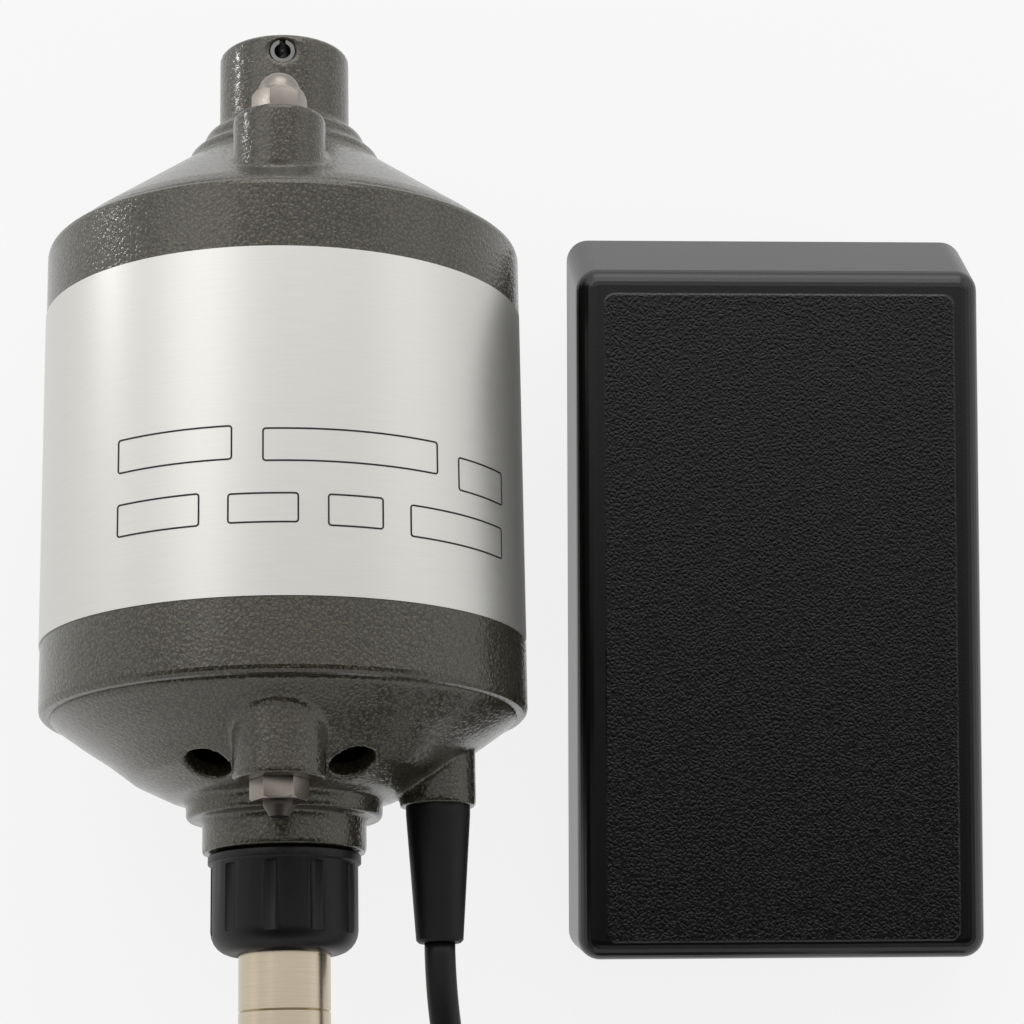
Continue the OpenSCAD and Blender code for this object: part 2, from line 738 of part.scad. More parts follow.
module sheath_boot() {
    l = 20;
    bore = sheath_d / 2 + 0.05;
    in_motor() color("#222324") rotate_extrude($fn = 48) polygon([[bore, ferrule_end_z],
        [ferrule_r - 0.7, ferrule_end_z], [ferrule_r - 0.7, ferrule_end_z - 3],
        [sheath_d / 2 + 1, ferrule_end_z - l], [bore, ferrule_end_z - l]]);
}

// ---- Flexible shaft and mains cord ----

module flex_sheath_run() {
    color("#1f2021") tube(sheath_run, sheath_d, run_sides);
}

module flex_sheath_coil() {
    color("#1f2021") tube(sheath_loops, sheath_d, loop_sides);
}

module sheath_tie() {
    color("#2b2b2d")
        coil_strap(sheath_coil_at, sheath_coil_r, sheath_d, sheath_coil_turns, -30, 14);
}

module flex_sheath_tail() {
    color("#1f2021") tube(sheath_tail, sheath_d, run_sides);
}

module cord_boot() {
    base_r = 6.3;
    tip_r = 4.6;
    bore = cord_d / 2 + 0.05;
    low = cord_boss_z - boot_l;
    in_motor() color("#1d1e1f") translate([cord_at_r, 0, 0]) rotate_extrude($fn = 48)
        polygon([[bore, cord_boss_z], [base_r, cord_boss_z], [base_r, cord_boss_z - 1.5],
            [tip_r, low + 0.5], [tip_r - 0.5, low], [0, low], [0, low + 6], [bore, low + 6]]);
}

module mains_cord_run() {
    color("#1a1b1c") tube(cord_run, cord_d, run_sides);
}

module mains_cord_coil() {
    color("#1a1b1c") tube(cord_loops, cord_d, loop_sides);
}

module cord_tie() {
    color("#2b2b2d") coil_strap(cord_coil_at, cord_coil_r, cord_d, cord_coil_turns, 75, 10);
}

module mains_cord_tail() {
    color("#1a1b1c") tube(cord_tail, cord_d, run_sides);
}

module plug_body() {
    relief_l = 12;
    corner = 2.5;
    color("#1a1b1c") translate(plug_at) {
        rotate([-90, 0, 0]) cylinder(r1 = cord_d / 2 + 0.8, r2 = cord_d / 2 + 2,
            h = relief_l + 1, $fn = 32);
        hull() {
            translate([0, relief_l, 0]) rotate([-90, 0, 0])
                cylinder(r = plug_h / 2 - 1.5, h = 1, $fn = 32);
            for (x = [-1, 1], y = [relief_l + 9, plug_l - corner], z = [-1, 1])
                translate([x * (plug_w / 2 - corner), y, z * (plug_h / 2 - corner)])
                    sphere(r = corner, $fn = 16);
        }
    }
}

module plug_blades() {
    color("#c9b27a") translate(plug_at) for (side = [-1, 1])
        translate([side * blade_gap / 2 - 0.75, plug_l, -3.2])
            cube([1.5, blade_l, 6.4]);
}

// ---- Handpiece ----

module handpiece_socket() {
    bore = spindle_r + 1;
    r = socket_r;
    in_hand() color("#b9bcbe") rotate_extrude($fn = 64) polygon([[0, 0], [r - 1.5, 0], [r, 1.5],
        [r, 8], [r - 1, 8.6], [r - 1, 10.4], [r, 11], [r, socket_l], [bore, socket_l],
        [bore, 6], [0, 6]]);
}

module handpiece_body() {
    r = hand_r;
    z0 = body_z;
    z1 = nose_z;
    grip = [for (i = [0:6]) let (z = z1 - 34 + 4.4 * i)
        each [[r - 1.6, z - 1.1], [r - 2.3, z - 0.5], [r - 2.3, z + 0.5], [r - 1.6, z + 1.1]]];
    outer = concat([[r - 1.2, z0], [r, z0 + 1.2], [r, z1 - 44], [r - 1.6, z1 - 39]], grip,
        [[r - 1.6, z1 - 2], [r - 2.6, z1]]);
    inner = [[hand_brg_r, z1], [hand_brg_r, front_brg_z], [hand_brg_r - 1, front_brg_z],
        [hand_brg_r - 1, rear_brg_z + hand_brg_w], [hand_brg_r + seat_c, rear_brg_z + hand_brg_w],
        [hand_brg_r + seat_c, z0]];
    in_hand() color("#2a2b2d") rotate_extrude($fn = 64) polygon(concat(outer, inner));
}

module handpiece_nose() {
    bore = spindle_r + 0.6;
    z0 = nose_z - 4;
    in_hand() color("#b9bcbe") rotate_extrude($fn = 64) polygon([[bore, z0],
        [hand_brg_r - seat_c, z0], [hand_brg_r - seat_c, nose_z], [hand_r - 3, nose_z],
        [hand_r - 3.4, nose_z + 3], [spindle_r + 3.5, nose_z + nose_l - 1],
        [spindle_r + 2.5, nose_z + nose_l], [bore, nose_z + nose_l]]);
}

module handpiece_rear_bearing() {
    in_hand() color("#aeb2b5") translate([0, 0, rear_brg_z])
        ball_bearing(hand_brg_r, spindle_r + run_c, hand_brg_w);
}

module handpiece_front_bearing() {
    in_hand() color("#aeb2b5") translate([0, 0, front_brg_z])
        ball_bearing(hand_brg_r, spindle_r + run_c, hand_brg_w);
}

module handpiece_spindle() {
    in_hand() color("#9da0a2") difference() {
        disc(spindle_r, socket_l - 12, spindle_end_z);
        disc(collet_r, spindle_end_z - collet_l + 6, spindle_end_z + 1);
    }
}

module collet() {
    z0 = spindle_end_z - collet_l + 6;
    z1 = z0 + collet_l;
    slit = 0.6;
    in_hand() color("#cfd2d4") difference() {
        rotate_extrude($fn = 48) polygon([[shank_d / 2 + 0.02, z0], [collet_r, z0],
            [collet_r, z1 - 6], [collet_r + 0.75, z1 - 4], [shank_d / 2 + 1, z1],
            [shank_d / 2 + 0.02, z1]]);
        for (turn = [0, 60, 120]) rotate([0, 0, turn])
            translate([-collet_r - 2, -slit / 2, z1 - 10]) cube([2 * collet_r + 4, slit, 11]);
    }
}

module collet_nut() {
    z0 = collet_nut_z;
    z1 = z0 + collet_nut_l;
    r = 7.2;
    cone_z = spindle_end_z + 2.2;
    in_hand() color("#b9bcbe") difference() {
        rotate_extrude($fn = 64) polygon([[spindle_r + run_c, z0], [r - 0.6, z0], [r, z0 + 0.6],
            [r, z1 - 6], [r - 3, z1 - 0.6], [r - 3.6, z1], [shank_d / 2 + 1.2, z1],
            [collet_r + 1.1, cone_z], [spindle_r + run_c, cone_z]]);
        for (i = [0:5]) rotate([0, 0, 60 * i]) translate([r - 0.7, -5, z1 - 12])
            cube([4, 10, 5]);
    }
}

// ---- Foot pedal ----

// The treadle's outline at a height, drawn in by an inset from its rounded corners
module treadle_block(inset, z_low, z_high) {
    r = treadle_r;
    full = top_h + skirt_h;
    function lean(z, total) = total * (z + skirt_h) / full;
    function side(z) = treadle_w / 2 - inset - lean(z, side_inset) - r;
    function end_at(toe, z) = toe ? toe_y - inset - lean(z, toe_inset) - r : heel_y + inset + r;
    hull() for (x = [-1, 1], toe = [false, true]) {
        translate([x * side(z_low), end_at(toe, z_low), z_low])
            cylinder(r = r, h = 0.5, $fn = 32);
        translate([x * side(z_high), end_at(toe, z_high), z_high - r]) sphere(r = r, $fn = 32);
    }
}

module treadle() {
    in_pedal() color("#232426") rotate([treadle_rest, 0, 0]) difference() {
        union() {
            difference() {
                treadle_block(0, -skirt_h, top_h);
                treadle_block(treadle_t, -skirt_h - 1, top_h - treadle_t);
            }
            for (side = [-1, 1]) translate([side * ear_x - ear_t / 2, 0, 0]) {
                rotate([0, 90, 0]) cylinder(r = ear_r, h = ear_t, $fn = 48);
                translate([0, -ear_r, 0]) cube([ear_t, 2 * ear_r, top_h - treadle_t + 0.5]);
            }
            translate([-6, plunger_y - 8, pad_z]) cube([12, 16, top_h - treadle_t - pad_z + 0.5]);
            translate([0, spring_boss_y, spring_boss_z])
                cylinder(r = spring_boss_r, h = top_h - treadle_t - spring_boss_z + 0.5, $fn = 48);
            for (y = [24, 78, 112]) translate([-treadle_w / 2 + 4, y, top_h - treadle_t - 2])
                cube([treadle_w - 8, 1.6, 2.5]);
        }
        translate([-pin_half_l, 0, 0]) rotate([0, 90, 0])
            cylinder(d = hinge_pin_d + 2 * run_c, h = 2 * pin_half_l, $fn = 48);
        translate([treadle_w / 2 - 8, gland_y - gland_r - 4, -skirt_h - 1])
            cube([12, 2 * gland_r + 8, 13]);
    }
}

// Side profile of the tray, extruded across the pedal
module tray_block(inset, z_low, rise) {
    half_w = base_half_w - inset;
    translate([half_w, 0, 0]) rotate([0, -90, 0]) linear_extrude(2 * half_w)
        polygon([[z_low, base_heel_y + inset], [base_heel_z + rise, base_heel_y + inset],
            [base_toe_z + rise, base_toe_y - toe_inset - inset], [z_low, base_toe_y - inset]]);
}

// Flat block over the plate's outline, grown by a clearance
module plate_block(z0, z1, c) {
    half_w = base_half_w - base_wall + c;
    heel = base_heel_y + base_wall - c;
    translate([-half_w, heel, z0])
        cube([2 * half_w, base_toe_y - base_wall - 0.6 + c - heel, z1 - z0]);
}

module at_plate_screws() {
    for (x = [-1, 1], y = [base_heel_y + 18, base_toe_y - 18])
        translate([x * (base_half_w - 8), y, 0]) children();
}

module pedal_base() {
    lug_r = 4.8;
    in_pedal() color("#1e1f21") difference() {
        union() {
            difference() {
                tray_block(0, base_z, 0);
                tray_block(base_wall, floor_z, 6);
                plate_block(base_z - 1, plate_z, 0.2);
            }
            for (side = [-1, 1]) translate([side * (ear_x + ear_t / 2 + 0.3 + lug_t / 2), 0, 0])
                translate([-lug_t / 2, 0, 0]) {
                    rotate([0, 90, 0]) cylinder(r = lug_r, h = lug_t, $fn = 48);
                    translate([0, -lug_r, plate_z]) cube([lug_t, 2 * lug_r, -plate_z]);
                }
            at_plate_screws() disc(3.6, plate_z, plate_z + 8);
        }
        translate([-pin_half_l, 0, 0]) rotate([0, 90, 0])
            cylinder(d = hinge_pin_d, h = 2 * pin_half_l, $fn = 48);
        at_plate_screws() disc(1.5, plate_z - 1, plate_z + 7);
        for (side = [-1, 1])
            translate([side * ear_x - ear_t / 2 - ear_gap, base_heel_y - 1, -ear_r - 2])
                cube([ear_t + 2 * ear_gap, base_wall + 2, ear_r + 20]);
        translate([base_half_w - base_wall - 1, gland_y, 0]) rotate([0, 90, 0])
            cylinder(r = gland_r - 1, h = base_wall + 2, $fn = 48);
    }
}

module base_plate() {
    in_pedal() color("#8b8e90") difference() {
        plate_block(base_z, plate_z, 0);
        at_plate_screws() disc(2.9, base_z - 1, plate_z + 1);
    }
}

module base_screws() {
    in_pedal() color("#8b8e90") at_plate_screws() {
        disc(2.9, base_z, plate_z);
        disc(1.5, plate_z - overlap, plate_z + 6.5);
    }
}

module pedal_feet() {
    in_pedal() color("#151617") for (x = [-1, 1], y = [base_heel_y + 9, base_toe_y - 9])
        translate([x * (base_half_w - 9), y, -hinge_h])
            cylinder(r1 = 5.2, r2 = 6, h = foot_h, $fn = 48);
}

module hinge_pin() {
    in_pedal() color("#a2a5a7") translate([-pin_half_l + 0.5, 0, 0]) rotate([0, 90, 0])
        cylinder(d = hinge_pin_d, h = 2 * pin_half_l - 1, $fn = 48);
}

module speed_control() {
    w = 40;
    l = 34;
    in_pedal() color("#2f5a3c") difference() {
        union() {
            translate([-w / 2, plunger_y - l / 2, floor_z]) cube([w, l, control_top - floor_z]);
            translate([0, plunger_y, 0]) disc(plunger_r + 2, control_top - 1, control_top + 3);
        }
        translate([0, plunger_y, 0]) disc(plunger_r + run_c, floor_z + 2, control_top + 4);
    }
}

module control_plunger() {
    in_pedal() color("#d8d4c8") translate([0, plunger_y, 0]) rotate_extrude($fn = 48)
        polygon(concat([[0, plunger_end], [plunger_r - 1, plunger_end],
            [plunger_r, plunger_end + 1]], arc(0, plunger_top - plunger_r, plunger_r, 0, 90, 6)));
}

module return_spring() {
    in_pedal() color("#9a9c9e") translate([0, spring_y, floor_z])
        spring(4.8, 1.4, spring_top - floor_z, 7);
}

module pedal_gland() {
    flange = 3.4;
    in_pedal() color("#151617") translate([base_half_w - base_wall, gland_y, 0])
        rotate([0, 90, 0]) difference() {
            union() {
                cylinder(r = gland_r - 1, h = base_wall, $fn = 48);
                translate([0, 0, base_wall]) cylinder(r = gland_r, h = flange + side_gap, $fn = 48);
                translate([0, 0, -1.2]) cylinder(r = gland_r, h = 1.2, $fn = 48);
            }
            translate([0, 0, -2]) cylinder(r = 2.5, h = 14, $fn = 48);
        }
}

upper_bell();
motor_shell();
lower_bell();
nameplate();
hanger_pin();
tie_studs();
cap_nuts();
stud_nuts();
stator_core();
field_coils();
brush_ring();
brush_holders();
carbon_brush(180);  // left_brush
carbon_brush(0);  // right_brush
brush_spring(180);  // left_brush_spring
brush_spring(0);  // right_brush_spring
upper_bearing();
lower_bearing();
armature_shaft();
armature_core();
armature_windings();
commutator();
cooling_fan();
drive_coupling();
core_drive_end();
collar_nut();
sheath_ferrule();
sheath_boot();
flex_sheath_run();
flex_sheath_coil();
sheath_tie();
flex_sheath_tail();
handpiece_socket();
handpiece_body();
handpiece_nose();
handpiece_rear_bearing();
handpiece_front_bearing();
handpiece_spindle();
collet();
collet_nut();
cord_boot();
mains_cord_run();
mains_cord_coil();
cord_tie();
mains_cord_tail();
plug_body();
plug_blades();
pedal_base();
base_plate();
pedal_feet();
base_screws();
hinge_pin();
speed_control();
control_plunger();
return_spring();
pedal_gland();
treadle();
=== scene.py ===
import json
import math

import bmesh
import bpy
from mathutils import Matrix, Vector


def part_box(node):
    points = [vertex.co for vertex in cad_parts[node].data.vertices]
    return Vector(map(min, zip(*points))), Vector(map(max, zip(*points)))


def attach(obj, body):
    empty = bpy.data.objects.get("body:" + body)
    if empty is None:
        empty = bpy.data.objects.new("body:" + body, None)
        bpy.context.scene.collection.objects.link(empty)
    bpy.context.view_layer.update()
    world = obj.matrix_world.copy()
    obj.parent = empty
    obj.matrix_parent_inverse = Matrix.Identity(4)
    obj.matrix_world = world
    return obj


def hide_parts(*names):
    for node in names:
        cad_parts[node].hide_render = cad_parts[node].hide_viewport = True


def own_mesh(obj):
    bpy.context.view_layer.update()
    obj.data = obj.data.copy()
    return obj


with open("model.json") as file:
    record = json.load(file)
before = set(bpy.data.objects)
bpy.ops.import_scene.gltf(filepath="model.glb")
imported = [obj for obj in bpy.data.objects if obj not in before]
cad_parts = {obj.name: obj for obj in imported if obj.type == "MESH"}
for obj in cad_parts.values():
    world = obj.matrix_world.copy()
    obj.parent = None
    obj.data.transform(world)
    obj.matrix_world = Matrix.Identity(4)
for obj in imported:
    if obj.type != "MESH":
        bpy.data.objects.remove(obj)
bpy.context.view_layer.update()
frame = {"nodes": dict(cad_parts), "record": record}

nodes = frame["nodes"]
scene = bpy.context.scene
mm = 0.001

# where the motor's shell edge, the handpiece's rear end and the treadle's hinge lie
motorX = -0.048
motorPlace = Matrix.Translation((motorX, 0.040, 0.048)) @ Matrix.Rotation(-math.pi / 2, 4, "X")
handPlace = Matrix.Translation((-0.084, -0.180, 0.0125)) @ Matrix.Rotation(-math.pi / 2, 4, "X")
pedalPlace = Matrix.Translation((0.05245, 0.0076, 0.013)) @ Matrix.Rotation(math.radians(-0.5), 4, "Z")
treadlePlace = pedalPlace @ Matrix.Rotation(math.radians(11.5), 4, "X")


def linearOf(code):
    parts = [int(code[i:i + 2], 16) / 255 for i in (0, 2, 4)]
    return tuple(c / 12.92 if c <= 0.04045 else ((c + 0.055) / 1.055) ** 2.4 for c in parts) + (1.0,)


def addNode(tree, kind, inputs=None, **settings):
    node = tree.nodes.new(kind)
    for name, value in settings.items():
        setattr(node, name, value)
    for key, value in (inputs or {}).items():
        if isinstance(value, bpy.types.NodeSocket):
            tree.links.new(value, node.inputs[key])
        else:
            node.inputs[key].default_value = value
    return node


def meshObject(name, mesh, material, body="housing"):
    obj = bpy.data.objects.new(name, mesh)
    scene.collection.objects.link(obj)
    mesh.materials.clear()
    mesh.materials.append(material)
    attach(obj, body)
    return obj


def meshFrom(name, bm, place=None, smooth=True):
    if place is not None:
        bm.transform(place)
    bmesh.ops.recalc_face_normals(bm, faces=bm.faces)
    mesh = bpy.data.meshes.new(name)
    bm.to_mesh(mesh)
    bm.free()
    for face in mesh.polygons:
        face.use_smooth = smooth
    return mesh


def mergedCopy(nodeName):
    bm = bmesh.new()
    bm.from_mesh(nodes[nodeName].data)
    bmesh.ops.remove_doubles(bm, verts=bm.verts, dist=2e-6)
    return bm


def evaluatedMesh(obj, name):
    # the modifiers' result as a plain mesh; the carrier object goes
    depsgraph = bpy.context.evaluated_depsgraph_get()
    mesh = bpy.data.meshes.new_from_object(obj.evaluated_get(depsgraph), depsgraph=depsgraph)
    mesh.name = name
    bpy.data.objects.remove(obj)
    return mesh


def carrier(mesh):
    obj = bpy.data.objects.new("carrier", mesh)
    scene.collection.objects.link(obj)
    return obj


view = {"place": (-0.03161, -0.06281, 0.59696), "yaw": -0.0535, "pitch": 0.2580, "roll": -0.0215,
        "lens": 99.02, "sensor": 36, "nearest": 0.01}
camera = bpy.data.objects.new("camera", bpy.data.cameras.new("camera"))
scene.collection.objects.link(camera)
camera.data.lens = view["lens"]
camera.data.sensor_width = view["sensor"]
camera.data.clip_start = view["nearest"]
camera.matrix_world = (
    Matrix.Translation(view["place"]) @ Matrix.Rotation(view["yaw"], 4, "Y")
    @ Matrix.Rotation(view["pitch"], 4, "X") @ Matrix.Rotation(view["roll"], 4, "Z"))
scene.camera = camera
scene.view_settings.view_transform = "Standard"
print("camera set")


def startFinish(name):
    material = bpy.data.materials.new(name)
    material.use_nodes = True
    material.node_tree.nodes.clear()
    return material, material.node_tree


def closeFinish(tree, shader):
    addNode(tree, "ShaderNodeOutputMaterial", {"Surface": shader.outputs[0]})


def localPoint(tree, place):
    # the point in a piece's own directions, from the object's coordinates
    spot, turn, _ = place.decompose()
    point = addNode(tree, "ShaderNodeTexCoord").outputs["Object"]
    return addNode(tree, "ShaderNodeMapping", {
        "Vector": point, "Location": spot, "Rotation": turn.to_euler()}, vector_type="TEXTURE").outputs[0]


def hammertoneEnamel():
    # stoved hammertone enamel: aluminium flake that shrinks into shallow cells about 0.9 mm wide,
    # the thin low seams between them painted near black as painted shade, under a clear gloss that sparks where
    # it meets the light
    cell, depth = 0.9 * mm, 0.05 * mm
    material, tree = startFinish("hammertoneEnamel")
    point = addNode(tree, "ShaderNodeTexCoord").outputs["Object"]
    drift = addNode(tree, "ShaderNodeTexNoise", {"Vector": point, "Scale": 0.8 / cell, "Detail": 3.0})
    moved = addNode(tree, "ShaderNodeVectorMath", {
        0: drift.outputs["Color"], 1: (cell * 1.5,) * 3, 2: point}, operation="MULTIPLY_ADD")
    cells = addNode(tree, "ShaderNodeTexVoronoi", {
        "Vector": moved.outputs[0], "Scale": 1 / cell, "Smoothness": 0.3}, feature="SMOOTH_F1")
    dome = addNode(tree, "ShaderNodeMapRange", {
        "Value": cells.outputs["Distance"], "From Min": 0.05, "From Max": 0.65, "To Min": 1.0, "To Max": 0.0},
        interpolation_type="SMOOTHSTEP")
    seams = addNode(tree, "ShaderNodeTexVoronoi", {
        "Vector": moved.outputs[0], "Scale": 1 / cell}, feature="DISTANCE_TO_EDGE")
    creviceShadeMask = addNode(tree, "ShaderNodeMapRange", {"Value": seams.outputs["Distance"], "From Max": 0.15})
    fine = addNode(tree, "ShaderNodeTexNoise", {"Vector": point, "Scale": 2.4 / cell, "Detail": 2.0})
    height = addNode(tree, "ShaderNodeMath", {
        0: fine.outputs["Fac"], 1: 0.4, 2: dome.outputs[0]}, operation="MULTIPLY_ADD")
    flake = addNode(tree, "ShaderNodeMix", {
        0: fine.outputs["Fac"], 6: linearOf("36342b"), 7: linearOf("625f50")}, data_type="RGBA")
    # painted shade: the thin seams, the low crevices between the cells, are darkened to near black
    creviceShadedFlake = addNode(tree, "ShaderNodeMix", {
        0: creviceShadeMask.outputs[0], 6: linearOf("141310"), 7: flake.outputs[2]}, data_type="RGBA")
    broad = addNode(tree, "ShaderNodeTexNoise", {"Vector": point, "Scale": 45.0, "Detail": 1.0})
    cast = addNode(tree, "ShaderNodeMix", {
        0: broad.outputs["Fac"], 6: linearOf("dfe2d4"), 7: linearOf("fbefe0")}, data_type="RGBA")
    tone = addNode(tree, "ShaderNodeMix", {
        0: 1.0, 6: creviceShadedFlake.outputs[2], 7: cast.outputs[2]}, data_type="RGBA", blend_type="MULTIPLY")
    bump = addNode(tree, "ShaderNodeBump", {"Height": height.outputs[0], "Distance": depth, "Strength": 1.0})
    closeFinish(tree, addNode(tree, "ShaderNodeBsdfPrincipled", {
        "Base Color": tone.outputs[2], "Metallic": 0.35, "Roughness": 0.42, "IOR": 1.5,
        "Coat Weight": 0.7, "Coat Roughness": 0.1, "Normal": bump.outputs[0],
        "Coat Normal": bump.outputs[0]}))
    return material


def brushedFoil():
    # brushed aluminium foil, lacquered: lines run round the shell and spread the light along it
    line = 0.35 * mm
    material, tree = startFinish("brushedFoil")
    point = localPoint(tree, motorPlace)
    parts = addNode(tree, "ShaderNodeSeparateXYZ", {0: point})
    angle = addNode(tree, "ShaderNodeMath", {0: parts.outputs[0], 1: parts.outputs[1]}, operation="ARCTAN2")
    unrolled = addNode(tree, "ShaderNodeCombineXYZ", {0: angle.outputs[0], 1: parts.outputs[2]})
    stretched = addNode(tree, "ShaderNodeVectorMath", {
        0: unrolled.outputs[0], 1: (5.0, 1 / line, 1.0)}, operation="MULTIPLY")
    lines = addNode(tree, "ShaderNodeTexNoise", {"Vector": stretched.outputs[0], "Scale": 1.0, "Detail": 3.0})
    rough = addNode(tree, "ShaderNodeMapRange", {
        "Value": lines.outputs["Fac"], "To Min": 0.33, "To Max": 0.43})
    tone = addNode(tree, "ShaderNodeMix", {
        0: lines.outputs["Fac"], 6: linearOf("d2d1cc"), 7: linearOf("dddcd8")}, data_type="RGBA")
    bump = addNode(tree, "ShaderNodeBump", {
        "Height": lines.outputs["Fac"], "Distance": 0.003 * mm, "Strength": 1.0})
    closeFinish(tree, addNode(tree, "ShaderNodeBsdfPrincipled", {
        "Base Color": tone.outputs[2], "Metallic": 0.82, "Roughness": rough.outputs[0],
        "Normal": bump.outputs[0]}))
    return material


def metalFinish(name, colour, dark, roughness, grain=0.6, depth=0.004):
    # plated or bare metal: a slight mottle and fine scratches break up the shine
    material, tree = startFinish(name)
    point = addNode(tree, "ShaderNodeTexCoord").outputs["Object"]
    mottle = addNode(tree, "ShaderNodeTexNoise", {"Vector": point, "Scale": 0.35 / mm, "Detail": 3.0})
    fine = addNode(tree, "ShaderNodeTexNoise", {"Vector": point, "Scale": 1 / (grain * mm), "Detail": 4.0})
    tone = addNode(tree, "ShaderNodeMix", {
        0: mottle.outputs["Fac"], 6: linearOf(dark), 7: linearOf(colour)}, data_type="RGBA")
    rough = addNode(tree, "ShaderNodeMapRange", {
        "Value": fine.outputs["Fac"], "To Min": roughness - 0.07, "To Max": roughness + 0.07})
    bump = addNode(tree, "ShaderNodeBump", {
        "Height": fine.outputs["Fac"], "Distance": depth * mm, "Strength": 1.0})
    closeFinish(tree, addNode(tree, "ShaderNodeBsdfPrincipled", {
        "Base Color": tone.outputs[2], "Metallic": 1.0, "Roughness": rough.outputs[0],
        "Normal": bump.outputs[0]}))
    return material


def turnedNickel(name, place):
    # nickel plate over turned steel: rings of tool marks round the axis
    mark = 0.3 * mm
    material, tree = startFinish(name)
    parts = addNode(tree, "ShaderNodeSeparateXYZ", {0: localPoint(tree, place)})
    angle = addNode(tree, "ShaderNodeMath", {0: parts.outputs[0], 1: parts.outputs[1]}, operation="ARCTAN2")
    ring = addNode(tree, "ShaderNodeMath", {0: parts.outputs[2], 1: 1 / mark}, operation="MULTIPLY")
    where = addNode(tree, "ShaderNodeCombineXYZ", {0: angle.outputs[0], 1: ring.outputs[0]})
    marks = addNode(tree, "ShaderNodeTexNoise", {"Vector": where.outputs[0], "Scale": 1.0, "Detail": 2.0})
    tone = addNode(tree, "ShaderNodeMix", {
        0: marks.outputs["Fac"], 6: linearOf("bfb29c"), 7: linearOf("cfc3ae")}, data_type="RGBA")
    rough = addNode(tree, "ShaderNodeMapRange", {
        "Value": marks.outputs["Fac"], "To Min": 0.2, "To Max": 0.27})
    bump = addNode(tree, "ShaderNodeBump", {
        "Height": marks.outputs["Fac"], "Distance": 0.0025 * mm, "Strength": 1.0})
    closeFinish(tree, addNode(tree, "ShaderNodeBsdfPrincipled", {
        "Base Color": tone.outputs[2], "Metallic": 1.0, "Roughness": rough.outputs[0],
        "Normal": bump.outputs[0]}))
    return material


def mouldedFinish(name, colour, light, roughness, grain=0.5, depth=0.02):
    # moulded plastic or rubber: the tool's fine texture, and a faint unevenness of the shine
    material, tree = startFinish(name)
    point = addNode(tree, "ShaderNodeTexCoord").outputs["Object"]
    fine = addNode(tree, "ShaderNodeTexNoise", {"Vector": point, "Scale": 1 / (grain * mm), "Detail": 3.0})
    broad = addNode(tree, "ShaderNodeTexNoise", {"Vector": point, "Scale": 0.08 / mm, "Detail": 2.0})
    tone = addNode(tree, "ShaderNodeMix", {
        0: fine.outputs["Fac"], 6: linearOf(colour), 7: linearOf(light)}, data_type="RGBA")
    rough = addNode(tree, "ShaderNodeMapRange", {
        "Value": broad.outputs["Fac"], "To Min": roughness - 0.08, "To Max": roughness + 0.08})
    bump = addNode(tree, "ShaderNodeBump", {
        "Height": fine.outputs["Fac"], "Distance": depth * mm, "Strength": 1.0})
    closeFinish(tree, addNode(tree, "ShaderNodeBsdfPrincipled", {
        "Base Color": tone.outputs[2], "Roughness": rough.outputs[0], "IOR": 1.5,
        "Specular IOR Level": 0.3, "Normal": bump.outputs[0]}))
    return material


